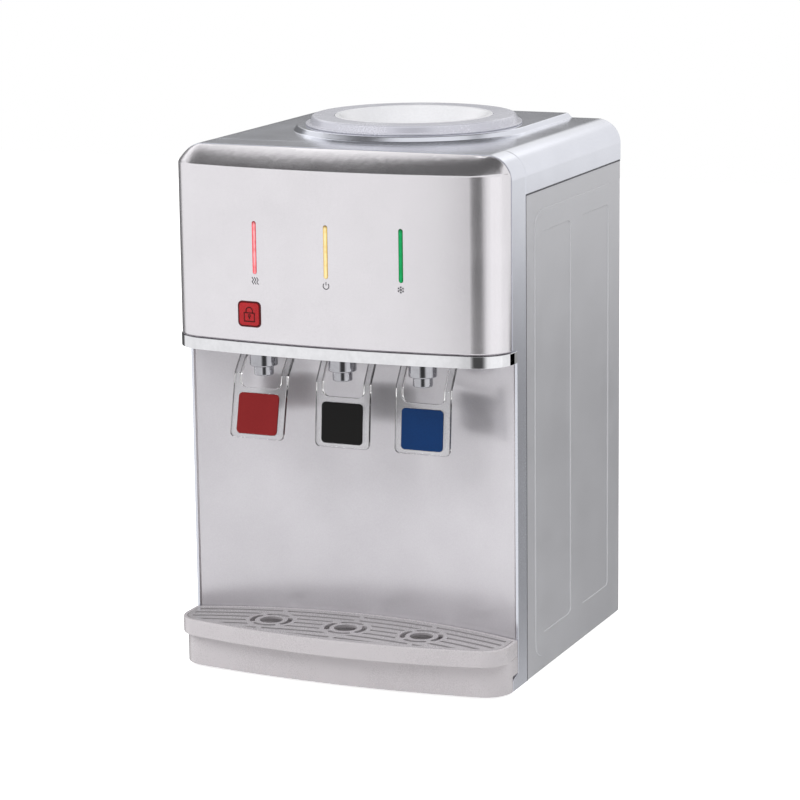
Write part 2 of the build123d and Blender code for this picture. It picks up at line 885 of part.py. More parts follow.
# Base pan and feet
pan_back = rear_y - sheet - slip
pan_inside = bay_edge - sheet
pan_end = pan_back - sheet
with BuildPart() as base_pan:
    with BuildSketch(Plane.XY.offset(floor_z)):
        with BuildLine():
            front_edge = panel_arc(bay_edge, -wall - slip)
            Polyline(front_edge @ 1, (bay_edge, pan_back), (-bay_edge, pan_back), front_edge @ 0)
        make_face()
    extrude(amount=pan_rim)
    with BuildSketch(Plane.XY.offset(floor_z + pan_floor)):
        with BuildLine():
            front_edge = panel_arc(pan_inside, -2 * wall - slip)
            Polyline(front_edge @ 1, (pan_inside, pan_end), (-pan_inside, pan_end), front_edge @ 0)
        make_face()
    extrude(amount=pan_rim, mode=Mode.SUBTRACT)
    with BuildSketch(Plane.XY.offset(floor_z + pan_floor)):
        with Locations((half - supply_inset, jamb_y + supply_set)):
            with GridLocations(supply_width - 2 * supply_post, supply_depth - 2 * supply_post, 2, 2):
                Circle(supply_post)
    extrude(amount=supply_stand)
save(base_pan, "base_pan")

foot_front = panel_y(0, -wall) + foot_inset / 2
foot_back = back_y - foot_inset
with BuildPart() as feet:
    with BuildSketch():
        with Locations((0, (foot_front + foot_back) / 2)):
            with GridLocations(body_width - 2 * foot_inset, foot_back - foot_front, 2, 2):
                Circle(foot_radius)
    extrude(amount=foot_height)
    chamfer(faces().group_by(Axis.Z)[0].edges(), foot_chamfer)
save(feet, "feet")

# Light bars: lens in its slot with a flange behind the fascia
with BuildSketch(mode=Mode.PRIVATE) as light_face:
    SlotOverall(light_length - 2 * slip, light_width - 2 * slip, rotation=90)
with BuildSketch(mode=Mode.PRIVATE) as light_back:
    SlotOverall(light_length + 2 * light_flange, light_width + 2 * light_flange, rotation=90)
for name, x in (("hot", -light_pitch), ("power", 0), ("cold", light_pitch)):
    with BuildPart() as light:
        with BuildSketch(front_plane(x, light_z).offset(-wall - run)):
            add(light_face.sketch)
        extrude(amount=wall + run + light_proud)
        with BuildSketch(front_plane(x, light_z).offset(-wall - run)):
            add(light_back.sketch)
        extrude(amount=-light_flange_thick)
    save(light, f"{name}_light")

# Indicator board on the fascia's bosses, with lamps and the lock's switch
lamp_room = board_y - wall - light_flange_thick - 2 * slip
with BuildPart() as indicator_board:
    with BuildSketch(Plane.XZ.offset(-board_y)):
        with Locations((0, board_z)):
            Rectangle(board_wide, board_high - board_low)
    extrude(amount=-board_thick)
    for x in (-light_pitch, 0, light_pitch):
        with BuildSketch(Plane.XZ.offset(-board_y)):
            with Locations((x, light_z)):
                with GridLocations(0, light_length / lamp_count, 1, lamp_count):
                    Circle(lamp_radius)
        extrude(amount=lamp_room - hood_y(x))
    with BuildSketch(Plane.XZ.offset(-board_y)):
        with Locations((lock_x, lock_z)):
            Rectangle(switch_size, switch_size)
    extrude(amount=switch_rise)
save(indicator_board, "indicator_board")

# Child lock: square button in a dark surround
lock_depth = board_y - hood_y(lock_x) - switch_rise - lock_travel - 2 * slip
bezel_size = bezel_hole - 2 * run
bezel_window = lock_size + 2 * slip
with BuildPart() as lock_bezel:
    with BuildSketch(front_plane(lock_x, lock_z).offset(bezel_proud)):
        RectangleRounded(bezel_size, bezel_size, lock_corner + bezel_width)
        RectangleRounded(bezel_window, bezel_window, lock_corner, mode=Mode.SUBTRACT)
    extrude(amount=-bezel_proud - bezel_depth)
save(lock_bezel, "lock_bezel")

with BuildPart() as child_lock_button:
    with BuildSketch(front_plane(lock_x, lock_z).offset(lock_proud)):
        RectangleRounded(lock_size, lock_size, lock_corner)
    extrude(amount=-lock_proud - lock_depth)
    fillet(faces().sort_by(Axis.Y)[0].edges(), lock_proud / 2)
save(child_lock_button, "child_lock_button")

# Taps: body on a threaded shank, spout below, plunger and rubber boot above
spout_z = trim_z - spout_drop
tap_z = spout_z + spout_length
valve_z = tap_z + lower_chamber
guide_z = valve_z + seat_thick + upper_chamber
tap_top_z = guide_z + guide_length
shank_z = tap_z + shank_rise
pivot_y = jamb_y + pivot_set
pivot_z = trim_z + pivot_rise
bulkhead_back = seam_y + bulkhead_thick
bulkhead_half = side_face - flange - slip
bulkhead_z = panel_top_z + bulkhead_gap
bulkhead_top_z = top_z - wall - flange + bulkhead_lap
barb_radius = hose_bore - run
thread_end = bulkhead_back + nut_thick + wall
barb_end = seam_y + barb_length
nose_rise = tap_top_z + boot_length + cap_thick - pivot_z + nose_radius + nose_touch
nose_set = tap_y - pivot_y
cap_tops = {}
for name, swing in swings.items():
    lift = nose_set * sin(radians(swing)) + nose_rise * cos(radians(swing))
    cap_tops[name] = pivot_z + lift - nose_radius - nose_touch

for name, x in taps.items():
    tap_axis = Axis((x, tap_y, 0), (0, 0, 1))
    cap_z = cap_tops[name] - cap_thick
    with BuildPart() as spout:
        with BuildSketch(Plane.XZ.offset(-tap_y)):
            with Locations((x, spout_z)):
                Rectangle(tip_radius, spout_length, align=(Align.MIN, Align.MIN))
            with Locations((x, spout_z + tip_length)):
                Rectangle(spout_radius, spout_length - tip_length, align=(Align.MIN, Align.MIN))
            with Locations((x, spout_z)):
                Rectangle(spout_bore, spout_length, align=(Align.MIN, Align.MIN), mode=Mode.SUBTRACT)
        revolve(axis=tap_axis)
        circles = edges().filter_by(GeomType.CIRCLE)
        tip_rims = circles.filter_by(lambda edge: abs(edge.radius - tip_radius) < run)
        fillet(tip_rims.sort_by(Axis.Z)[0], tip_round)
        circles = edges().filter_by(GeomType.CIRCLE)
        body_rims = circles.filter_by(lambda edge: abs(edge.radius - spout_radius) < run)
        fillet(body_rims.sort_by(Axis.Z)[0], tip_round)
    save(spout, f"{name}_spout")

    with BuildPart() as tap_body:
        with BuildSketch(Plane.XZ.offset(-tap_y)):
            with BuildLine():
                Polyline(
                    (x + chamber_radius, tap_z),
                    (x + tap_radius, tap_z),
                    (x + tap_radius, tap_top_z),
                    (x + stem_radius + run, tap_top_z),
                    (x + stem_radius + run, guide_z),
                    (x + chamber_radius, guide_z),
                    (x + chamber_radius, valve_z + seat_thick),
                    (x + seat_radius, valve_z + seat_thick),
                    (x + seat_radius, valve_z),
                    (x + chamber_radius, valve_z),
                    close=True,
                )
            make_face()
        revolve(axis=tap_axis)
        with BuildSketch(Plane.XZ.offset(-tap_y - chamber_radius - slip)):
            with Locations((x, shank_z)):
                Circle(shank_radius)
        extrude(amount=tap_y + chamber_radius + slip - seam_y)
        with BuildSketch(Plane.XZ.offset(washer_thick - seam_y)):
            with Locations((x, shank_z)):
                Circle(washer_radius)
        extrude(amount=-washer_thick)
        with BuildSketch(Plane.XZ.offset(-seam_y)):
            with Locations((x, shank_z)):
                Circle(thread_radius)
        extrude(amount=seam_y - thread_end)
        with BuildSketch(Plane.XZ.offset(-thread_end)):
            with Locations((x, shank_z)):
                Circle(barb_radius)
        extrude(amount=thread_end - barb_end)
        with BuildSketch(Plane.YZ.offset(x)):
            with Locations((pivot_y, pivot_z)):
                Circle(pivot_boss)
        extrude(amount=pivot_span / 2, both=True)
        with BuildSketch(Plane.XZ.offset(-tap_y)):
            with Locations((x, shank_z)):
                Circle(shank_bore)
        extrude(amount=tap_y - barb_end, mode=Mode.SUBTRACT)
        for side in (-1, 1):
            with BuildSketch(Plane.YZ.offset(x + side * pin_grip)):
                with Locations((pivot_y, pivot_z)):
                    Circle(pin_radius + run)
            extrude(amount=side * pivot_span, mode=Mode.SUBTRACT)
    save(tap_body, f"{name}_tap_body")

    with BuildPart() as plunger:
        with BuildSketch(Plane.XZ.offset(-tap_y)):
            with Locations((x, valve_z - nose_touch)):
                Rectangle(head_radius, head_thick, align=(Align.MIN, Align.MAX))
                Rectangle(stem_radius, cap_z - valve_z + nose_touch, align=(Align.MIN, Align.MIN))
            with Locations((x, cap_z)):
                Rectangle(cap_radius, cap_thick, align=(Align.MIN, Align.MIN))
        revolve(axis=tap_axis)
    save(plunger, f"{name}_plunger")

    fold = (cap_z - tap_top_z - 2 * run) / (2 * boot_folds)
    throat = boot_radius - 2 * boot_wall
    zigzag = []
    for step in range(2 * boot_folds + 1):
        zigzag.append((x + throat + boot_wall * (step % 2), tap_top_z + run + step * fold))
    with BuildPart() as tap_boot:
        with BuildSketch(Plane.XZ.offset(-tap_y)):
            with BuildLine():
                Polyline(*zigzag, *[(radius + boot_wall, z) for radius, z in reversed(zigzag)], close=True)
            make_face()
        revolve(axis=tap_axis)
    save(tap_boot, f"{name}_tap_boot")

# Bulkhead that the taps are bolted to, with its welded nuts
with BuildPart() as tap_bulkhead:
    with BuildSketch(Plane.XZ.offset(-seam_y)):
        with Locations((0, bulkhead_z)):
            Rectangle(2 * bulkhead_half, bulkhead_top_z - bulkhead_z, align=(Align.CENTER, Align.MIN))
    extrude(amount=-bulkhead_thick)
    with BuildSketch(Plane.XZ.offset(-bulkhead_back)):
        with Locations(*[(x, shank_z) for x in taps.values()]):
            RegularPolygon(nut_radius, 6)
    extrude(amount=-nut_thick)
    with BuildSketch(Plane.XZ.offset(-seam_y)):
        with Locations(*[(x, shank_z) for x in taps.values()]):
            Circle(thread_radius + run)
    extrude(amount=-bulkhead_thick - nut_thick, mode=Mode.SUBTRACT)
save(tap_bulkhead, "tap_bulkhead")

# Stub pins that the levers turn on
with BuildPart() as pivot_pins:
    for x in taps.values():
        for side in (-1, 1):
            with BuildSketch(Plane.YZ.offset(x + side * (pin_grip + slip))):
                with Locations((pivot_y, pivot_z)):
                    Circle(pin_radius)
            extrude(amount=side * (lever_width / 2 - pin_grip))
            with BuildSketch(Plane.YZ.offset(x + side * (lever_width / 2 + slip))):
                with Locations((pivot_y, pivot_z)):
                    Circle(pin_head)
            extrude(amount=side * pin_head_thick)
save(pivot_pins, "pivot_pins")

# Levers: clear arms from the pivot to a paddle that holds a coloured pad
paddle_window = lever_width - 2 * arm_width
window_drop = paddle_length - paddle_height
pad_drop = paddle_length - pad_rise - pad_height / 2
for name, x in taps.items():
    turn = radians(swings[name])
    pivot = Plane(origin=(x, pivot_y, pivot_z), x_dir=(0, cos(turn), sin(turn)), z_dir=(1, 0, 0))
    lean = radians(paddle_lean - swings[name])
    bend = pivot.from_local_coords((-bend_set, -bend_drop, 0))
    paddle = Plane(origin=bend, x_dir=(1, 0, 0), z_dir=(0, -cos(lean), sin(lean)))
    with BuildPart() as lever:
        for start in (-lever_width / 2, lever_width / 2 - arm_width):
            with BuildSketch(pivot.offset(start)):
                with BuildLine():
                    Polyline((-bend_set, -bend_drop), (0, -knee_drop), (0, 0), (nose_set, nose_rise))
                trace(line_width=arm_thick)
                Circle(arm_eye)
                with Locations((-bend_set, -bend_drop), (0, -knee_drop), (nose_set, nose_rise)):
                    Circle(arm_thick / 2)
                Circle(pin_radius + run, mode=Mode.SUBTRACT)
            extrude(amount=arm_width)
        with BuildSketch(pivot):
            with Locations((nose_set, nose_rise)):
                Circle(nose_radius)
        extrude(amount=lever_width / 2, both=True)
        with BuildSketch(paddle.offset(paddle_thick / 2)):
            with Locations((0, -paddle_length)):
                Rectangle(lever_width, paddle_length, align=(Align.CENTER, Align.MIN))
            fillet(vertices().group_by(Axis.Y)[0], paddle_corner)
            with Locations((0, -window_drop)):
                Rectangle(paddle_window, paddle_length, align=(Align.CENTER, Align.MIN), mode=Mode.SUBTRACT)
            inner = vertices().filter_by(lambda corner: abs(abs(corner.X) - paddle_window / 2) < run)
            fillet(inner.group_by(Axis.Y)[0], window_corner)
        extrude(amount=-paddle_thick)
        with BuildSketch(paddle.offset(paddle_thick / 2)):
            with Locations((0, -pad_drop)):
                RectangleRounded(pad_width + 2 * pad_slip, pad_height + 2 * pad_slip, pad_corner + pad_slip)
        extrude(amount=-pad_sink, mode=Mode.SUBTRACT)
    save(lever, f"{name}_lever")

    with BuildPart() as lever_pad:
        with BuildSketch(paddle.offset(paddle_thick / 2 - pad_sink)):
            with Locations((0, -pad_drop)):
                RectangleRounded(pad_width, pad_height, pad_corner)
        extrude(amount=pad_sink + pad_proud)
    save(lever_pad, f"{name}_lever_pad")

# Cold tank under the seat, hung from the top cover's ring, with its foam jacket
tank_z = tank_top_z - tank_depth
jacket_radius = tank_radius + slip + foam
jacket_z = tank_z - slip - foam_floor
cold_spot = (cold_port[0], collar_y + cold_port[1])
feed_spot = (feed_port[0], collar_y + feed_port[1])
ambient_z = tank_top_z - ambient_port_drop
block_y = collar_y + tank_radius + block_reach
with BuildPart() as cold_tank:
    with BuildSketch(seat_plane):
        with BuildLine():
            Polyline(
                (0, tank_z),
                (tank_radius, tank_z),
                (tank_radius, tank_top_z - tank_wall),
                (tank_flange, tank_top_z - tank_wall),
                (tank_flange, tank_top_z),
                (tank_radius - tank_wall, tank_top_z),
                (tank_radius - tank_wall, tank_z + tank_wall),
                (0, tank_z + tank_wall),
                close=True,
            )
        make_face()
    revolve(axis=seat_axis)
    with BuildSketch(Plane.XY.offset(tank_z)):
        with Locations(cold_spot, feed_spot):
            Circle(barb_radius)
    extrude(amount=-slip - foam_floor - port_grip)
    with BuildSketch(Plane.XZ.offset(tank_radius - tank_wall / 2 - collar_y)):
        with Locations((0, ambient_z)):
            Circle(barb_radius)
    extrude(amount=tank_wall / 2 + slip + foam + port_grip)
    with BuildSketch(Plane.XY.offset(tank_z + tank_wall)):
        with Locations(cold_spot, feed_spot):
            Circle(shank_bore)
    extrude(amount=-tank_wall - slip - foam_floor - port_grip, mode=Mode.SUBTRACT)
    with BuildSketch(Plane.XZ.offset(-collar_y)):
        with Locations((0, ambient_z)):
            Circle(shank_bore)
    extrude(amount=jacket_radius + port_grip, mode=Mode.SUBTRACT)
save(cold_tank, "cold_tank")

with BuildPart() as cold_tank_jacket:
    with BuildSketch(seat_plane):
        with BuildLine():
            Polyline(
                (0, jacket_z),
                (jacket_radius, jacket_z),
                (jacket_radius, tank_top_z - tank_wall - slip),
                (tank_radius + slip, tank_top_z - tank_wall - slip),
                (tank_radius + slip, tank_z - slip),
                (0, tank_z - slip),
                close=True,
            )
        make_face()
    revolve(axis=seat_axis)
    with BuildSketch(Plane.XY.offset(jacket_z)):
        with Locations(cold_spot, feed_spot):
            Circle(barb_radius + slip)
    extrude(amount=foam_floor, mode=Mode.SUBTRACT)
    with BuildSketch(Plane.XZ.offset(-collar_y)):
        with Locations((0, ambient_z)):
            Circle(barb_radius + slip)
    extrude(amount=jacket_radius, mode=Mode.SUBTRACT)
    with BuildSketch(Plane.XZ.offset(-collar_y)):
        with Locations((0, block_z)):
            Rectangle(block_size + 2 * slip, block_size + 2 * slip)
    extrude(amount=-jacket_radius, mode=Mode.SUBTRACT)
save(cold_tank_jacket, "cold_tank_jacket")

# Electronic cooler behind the tank: cold block, heat sink, fan
with BuildPart() as cold_block:
    with BuildSketch(Plane.XZ.offset(-block_y)):
        with Locations((0, block_z)):
            Rectangle(block_size, block_size)
    extrude(amount=block_y - collar_y)
    with BuildSketch(Plane.XY.offset(tank_z)):
        with Locations((0, collar_y)):
            Circle(tank_radius + run)
    extrude(amount=tank_top_z - tank_z, mode=Mode.SUBTRACT)
save(cold_block, "cold_block")

fin_pitch = (sink_size - fin_thick) / (fin_count - 1)
with BuildPart() as heat_sink:
    with BuildSketch(Plane.XZ.offset(-block_y)):
        with Locations((0, block_z)):
            Rectangle(sink_size, sink_size)
    extrude(amount=-sink_base)
    with BuildSketch(Plane.XZ.offset(-block_y - sink_base)):
        with Locations((0, block_z)):
            with GridLocations(fin_pitch, 0, fin_count, 1):
                Rectangle(fin_thick, sink_size)
    extrude(amount=-fin_length)
save(heat_sink, "heat_sink")

fan_y = block_y + sink_base + fin_length
fan_end = fan_y + fan_depth
spider_y = fan_end - fan_back
with BuildPart() as fan_frame:
    with BuildSketch(Plane.XZ.offset(-fan_y)):
        with Locations((0, block_z)):
            RectangleRounded(fan_size, fan_size, fan_corner)
            Circle(fan_bore, mode=Mode.SUBTRACT)
    extrude(amount=-fan_depth)
    with BuildSketch(Plane.XZ.offset(-spider_y)):
        with Locations((0, block_z)):
            Circle(fan_hub)
            with PolarLocations(0, fan_struts):
                Rectangle(fan_bore + fan_back, fan_strut, align=(Align.MIN, Align.CENTER))
    extrude(amount=-fan_back)
    with BuildSketch(Plane.XZ.offset(-spider_y)):
        with Locations((0, block_z)):
            Circle(fan_shaft)
    extrude(amount=fan_depth - 2 * fan_back)
save(fan_frame, "fan_frame")

hub_length = fan_depth - fan_back - 2 * slip
hub_end = spider_y - slip
with BuildPart() as fan_rotor:
    with BuildSketch(Plane.XZ.offset(-hub_end)):
        with Locations((0, block_z)):
            Circle(fan_hub)
    extrude(amount=hub_length)
    with BuildSketch(Plane.XZ.offset(-hub_end)):
        with Locations((0, block_z)):
            Circle(fan_shaft + run)
    extrude(amount=hub_length - fan_shaft, mode=Mode.SUBTRACT)
    for blade in range(fan_blades):
        angle = radians(blade * 360 / fan_blades)
        middle = (0, hub_end - hub_length / 2, block_z)
        spoke = Plane(origin=middle, x_dir=(0, 1, 0), z_dir=(cos(angle), 0, sin(angle)))
        with BuildSketch(spoke.offset(fan_hub - blade_thick)):
            Rectangle(blade_chord, blade_thick, rotation=90 - blade_tilt)
        extrude(amount=fan_reach - fan_hub + blade_thick)
save(fan_rotor, "fan_rotor")

# Hot tank on three legs, with its jacket
hot_x = taps["hot"]
hot_y = jamb_y + hot_set
hot_z = floor_z + hot_low
hot_top_z = hot_z + hot_height
hot_feed_z = floor_z + hot_feed_height
hot_shell = slip + hot_foam
pan_top = floor_z + pan_floor
with BuildPart() as hot_tank:
    with BuildSketch(Plane.XY.offset(hot_z)):
        with Locations((hot_x, hot_y)):
            Circle(hot_radius)
    extrude(amount=hot_height)
    with BuildSketch(Plane.XY.offset(hot_z - hot_shell - port_grip)):
        with Locations((hot_x, hot_y)):
            Circle(barb_radius)
    extrude(amount=hot_height + 2 * (hot_shell + port_grip))
    with BuildSketch(Plane.YZ.offset(hot_x)):
        with Locations((hot_y, hot_feed_z)):
            Circle(barb_radius)
    extrude(amount=hot_radius + hot_shell + port_grip)
    with BuildSketch(Plane.XY.offset(pan_top)):
        with Locations((hot_x, hot_y)):
            with PolarLocations(leg_ring, leg_count):
                Circle(leg_radius)
    extrude(amount=hot_z - pan_top)
    with BuildSketch(Plane.XY.offset(hot_z + tank_wall)):
        with Locations((hot_x, hot_y)):
            Circle(hot_radius - tank_wall)
    extrude(amount=hot_height - 2 * tank_wall, mode=Mode.SUBTRACT)
    with BuildSketch(Plane.XY.offset(hot_z - hot_shell - port_grip)):
        with Locations((hot_x, hot_y)):
            Circle(shank_bore)
    extrude(amount=hot_height + 2 * (hot_shell + port_grip), mode=Mode.SUBTRACT)
    with BuildSketch(Plane.YZ.offset(hot_x)):
        with Locations((hot_y, hot_feed_z)):
            Circle(shank_bore)
    extrude(amount=hot_radius + hot_shell + port_grip, mode=Mode.SUBTRACT)
save(hot_tank, "hot_tank")

with BuildPart() as hot_tank_jacket:
    with BuildSketch(Plane.XY.offset(hot_z - hot_shell)):
        with Locations((hot_x, hot_y)):
            Circle(hot_radius + hot_shell)
    extrude(amount=hot_height + 2 * hot_shell)
    with BuildSketch(Plane.XY.offset(hot_z - slip)):
        with Locations((hot_x, hot_y)):
            Circle(hot_radius + slip)
    extrude(amount=hot_height + 2 * slip, mode=Mode.SUBTRACT)
    with BuildSketch(Plane.XY.offset(hot_z - hot_shell)):
        with Locations((hot_x, hot_y)):
            Circle(barb_radius + slip)
    extrude(amount=hot_height + 2 * hot_shell, mode=Mode.SUBTRACT)
    with BuildSketch(Plane.XY.offset(hot_z - hot_shell)):
        with Locations((hot_x, hot_y)):
            with PolarLocations(leg_ring, leg_count):
                Circle(leg_radius + slip)
    extrude(amount=hot_shell, mode=Mode.SUBTRACT)
    with BuildSketch(Plane.YZ.offset(hot_x)):
        with Locations((hot_y, hot_feed_z)):
            Circle(barb_radius + slip)
    extrude(amount=hot_radius + hot_shell, mode=Mode.SUBTRACT)
save(hot_tank_jacket, "hot_tank_jacket")

# Hoses pushed over the taps' barbs and the tanks' ports
hose_y = thread_end + slip
cold_run_z = min(shank_z, jacket_z) - cold_dip
drain_hose_y = rear_y - drain_inner - slip
hose_routes = (
    (
        (hot_x, hose_y, shank_z),
        (hot_x, hot_y, shank_z),
        (hot_x, hot_y, hot_top_z + hot_shell + slip),
    ),
    (
        (0, hose_y, shank_z),
        (0, jamb_y + ambient_riser, shank_z),
        (0, jamb_y + ambient_riser, ambient_z),
        (0, collar_y - jacket_radius - slip, ambient_z),
    ),
    (
        (taps["cold"], hose_y, shank_z),
        (taps["cold"], jamb_y + cold_drop, shank_z),
        (taps["cold"], jamb_y + cold_drop, cold_run_z),
        (*cold_spot, cold_run_z),
        (*cold_spot, jacket_z - slip),
    ),
    (
        (*feed_spot, jacket_z - slip),
        (*feed_spot, hot_feed_z),
        (hot_x + hot_radius + hot_shell + slip, feed_spot[1], hot_feed_z),
    ),
    (
        (hot_x, hot_y, hot_z - hot_shell - slip),
        (hot_x, hot_y, drain_z),
        (hot_x, drain_hose_y, drain_z),
    ),
)
with BuildPart() as water_hoses:
    for route in hose_routes:
        with BuildLine() as path:
            FilletPolyline(*route, radius=hose_bend)
        with BuildSketch(path.line ^ 0):
            Circle(hose_radius)
            Circle(hose_bore, mode=Mode.SUBTRACT)
        sweep(path=path.line)
save(water_hoses, "water_hoses")

# Power board on the base pan's posts
supply_z = pan_top + supply_stand
with BuildPart() as power_board:
    with BuildSketch(Plane.XY.offset(supply_z)):
        with Locations((half - supply_inset, jamb_y + supply_set)):
            Rectangle(supply_width, supply_depth)
    extrude(amount=board_thick)
    with BuildSketch(Plane.XY.offset(supply_z + board_thick)):
        with Locations((half - supply_inset, jamb_y + supply_set)):
            Rectangle(module_width, module_depth)
    extrude(amount=module_height)
save(power_board, "power_board")

# Rocker switches in the back: housings with a cross pin, and the two rockers
axle_y = back_y - rocker_sink
with BuildPart() as switch_housings:
    with BuildSketch(Plane.XZ.offset(-back_y)):
        with Locations(*rocker_spots):
            Rectangle(switch_width, switch_height)
    extrude(amount=switch_depth)
    with BuildSketch(Plane.XZ.offset(-back_y)):
        with Locations(*rocker_spots):
            Rectangle(switch_width + 2 * switch_lip, switch_height + 2 * switch_lip)
    extrude(amount=-switch_lip_thick)
    with BuildSketch(Plane.XZ.offset(-back_y - switch_lip_thick)):
        with Locations(*rocker_spots):
            Rectangle(rocker_width + 2 * slip, 2 * (rocker_radius + slip))
    extrude(amount=switch_lip_thick + switch_well, mode=Mode.SUBTRACT)
    for x, z in rocker_spots:
        with BuildSketch(Plane.YZ.offset(x)):
            with Locations((axle_y, z)):
                Circle(switch_pin)
        extrude(amount=switch_width / 2, both=True)
save(switch_housings, "switch_housings")

for name, (x, z) in zip(("heating", "cooling"), rocker_spots):
    with BuildPart() as rocker:
        with BuildSketch(Plane.YZ.offset(x)):
            with Locations((axle_y, z)):
                Circle(rocker_radius)
            with Locations(Location((axle_y, z), -rocker_tilt)):
                with Locations(((rocker_face - rocker_heel) / 2, 0)):
                    Rectangle(rocker_face + rocker_heel, 2 * rocker_radius, mode=Mode.INTERSECT)
            with Locations((axle_y, z)):
                Circle(switch_pin + run, mode=Mode.SUBTRACT)
        extrude(amount=rocker_width / 2, both=True)
    save(rocker, f"{name}_rocker")

# Cord gland and drain in the back
with BuildPart() as cord_gland:
    with BuildSketch(Plane.XY.offset(gland_z)):
        with BuildLine():
            Polyline(
                (rocker_x + gland_bore, rear_y - gland_length),
                (rocker_x + gland_radius, rear_y - gland_length),
                (rocker_x + gland_radius + gland_snap, rear_y - slip),
                (rocker_x + gland_radius, rear_y - slip),
                (rocker_x + gland_radius, back_y),
                (rocker_x + gland_radius + gland_lip, back_y),
                (rocker_x + gland_radius + gland_lip / 2, back_y + gland_lip_thick),
                (rocker_x + gland_bore, back_y + gland_lip_thick),
                close=True,
            )
        make_face()
    revolve(axis=Axis((rocker_x, 0, gland_z), (0, 1, 0)))
save(cord_gland, "cord_gland")

drain_axis = Axis((drain_x, 0, drain_z), (0, 1, 0))
drain_end = back_y + drain_outer
with BuildPart() as drain_spout:
    with BuildSketch(Plane.XY.offset(drain_z)):
        with BuildLine():
            Polyline(
                (drain_x + shank_bore, rear_y - drain_inner - port_grip),
                (drain_x + barb_radius, rear_y - drain_inner - port_grip),
                (drain_x + barb_radius, rear_y - drain_inner),
                (drain_x + drain_radius, rear_y - drain_inner),
                (drain_x + drain_radius, rear_y - drain_nut_thick),
                (drain_x + drain_nut, rear_y - drain_nut_thick),
                (drain_x + drain_nut, rear_y),
                (drain_x + drain_radius, rear_y),
                (drain_x + drain_radius, drain_end),
                (drain_x + drain_bore, drain_end),
                (drain_x + drain_bore, back_y),
                (drain_x + shank_bore, back_y),
                close=True,
            )
        make_face()
    revolve(axis=drain_axis)
save(drain_spout, "drain_spout")

drain_fit = drain_radius + run
with BuildPart() as drain_cap:
    with BuildSketch(Plane.XY.offset(drain_z)):
        with BuildLine():
            Polyline(
                (drain_x, drain_end),
                (drain_x + drain_fit, drain_end),
                (drain_x + drain_fit, drain_end - cap_skirt),
                (drain_x + drain_fit + cap_wall, drain_end - cap_skirt),
                (drain_x + drain_fit + cap_wall, drain_end + cap_end),
                (drain_x, drain_end + cap_end),
                close=True,
            )
        make_face()
    revolve(axis=drain_axis)
save(drain_cap, "drain_cap")
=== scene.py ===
import json
import math

import bmesh
import bpy
from mathutils import Matrix, Vector
from mathutils.bvhtree import BVHTree

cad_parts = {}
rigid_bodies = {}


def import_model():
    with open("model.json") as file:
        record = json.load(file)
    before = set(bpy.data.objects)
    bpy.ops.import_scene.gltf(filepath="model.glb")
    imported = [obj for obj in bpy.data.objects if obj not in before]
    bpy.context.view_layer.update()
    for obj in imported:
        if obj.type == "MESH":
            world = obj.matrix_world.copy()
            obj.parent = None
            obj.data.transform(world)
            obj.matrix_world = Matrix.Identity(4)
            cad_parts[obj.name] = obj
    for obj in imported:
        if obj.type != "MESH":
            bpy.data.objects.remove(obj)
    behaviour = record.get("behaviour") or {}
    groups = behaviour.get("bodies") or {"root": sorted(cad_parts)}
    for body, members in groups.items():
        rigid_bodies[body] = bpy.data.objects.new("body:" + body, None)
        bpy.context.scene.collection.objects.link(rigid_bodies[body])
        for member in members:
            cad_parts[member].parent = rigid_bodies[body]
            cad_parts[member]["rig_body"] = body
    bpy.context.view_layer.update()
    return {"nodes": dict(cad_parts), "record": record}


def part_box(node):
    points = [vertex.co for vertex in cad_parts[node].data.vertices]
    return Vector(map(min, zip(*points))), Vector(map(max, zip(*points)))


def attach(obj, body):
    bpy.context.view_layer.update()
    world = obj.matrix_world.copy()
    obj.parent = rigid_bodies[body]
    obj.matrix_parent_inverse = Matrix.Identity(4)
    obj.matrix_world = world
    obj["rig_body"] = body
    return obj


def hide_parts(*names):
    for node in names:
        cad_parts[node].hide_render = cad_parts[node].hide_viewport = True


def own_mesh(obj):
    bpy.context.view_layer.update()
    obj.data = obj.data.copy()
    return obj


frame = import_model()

nodes = frame["nodes"]
slotOf = {row["node"]: row["material_slot"] for row in frame["record"]["subparts"]}
scene = bpy.context.scene
mm = 0.001
weld = 2e-6  # points nearer than this are one point
middle = Vector((0, 0, 0.25))  # of the object, for lamps and cards


def toLinear(hexColour):
    channels = [int(hexColour[i:i + 2], 16) / 255 for i in (1, 3, 5)]
    return [c / 12.92 if c <= 0.04045 else ((c + 0.055) / 1.055) ** 2.4 for c in channels] + [1.0]


# adds a node, sets its options, and fills or links its inputs
def addNode(tree, kind, inputs=None, **options):
    node = tree.nodes.new(kind)
    for name, value in options.items():
        setattr(node, name, value)
    for name, value in (inputs or {}).items():
        several = value if isinstance(value, list) else [value]
        sources = [item for item in several if isinstance(item, bpy.types.NodeSocket)]
        for source in sources:
            tree.links.new(source, node.inputs[name])
        if not sources:
            node.inputs[name].default_value = value
    return node


def newTree(name):
    material = bpy.data.materials.new(name)
    material.use_nodes = True
    material.node_tree.nodes.clear()
    return material, material.node_tree


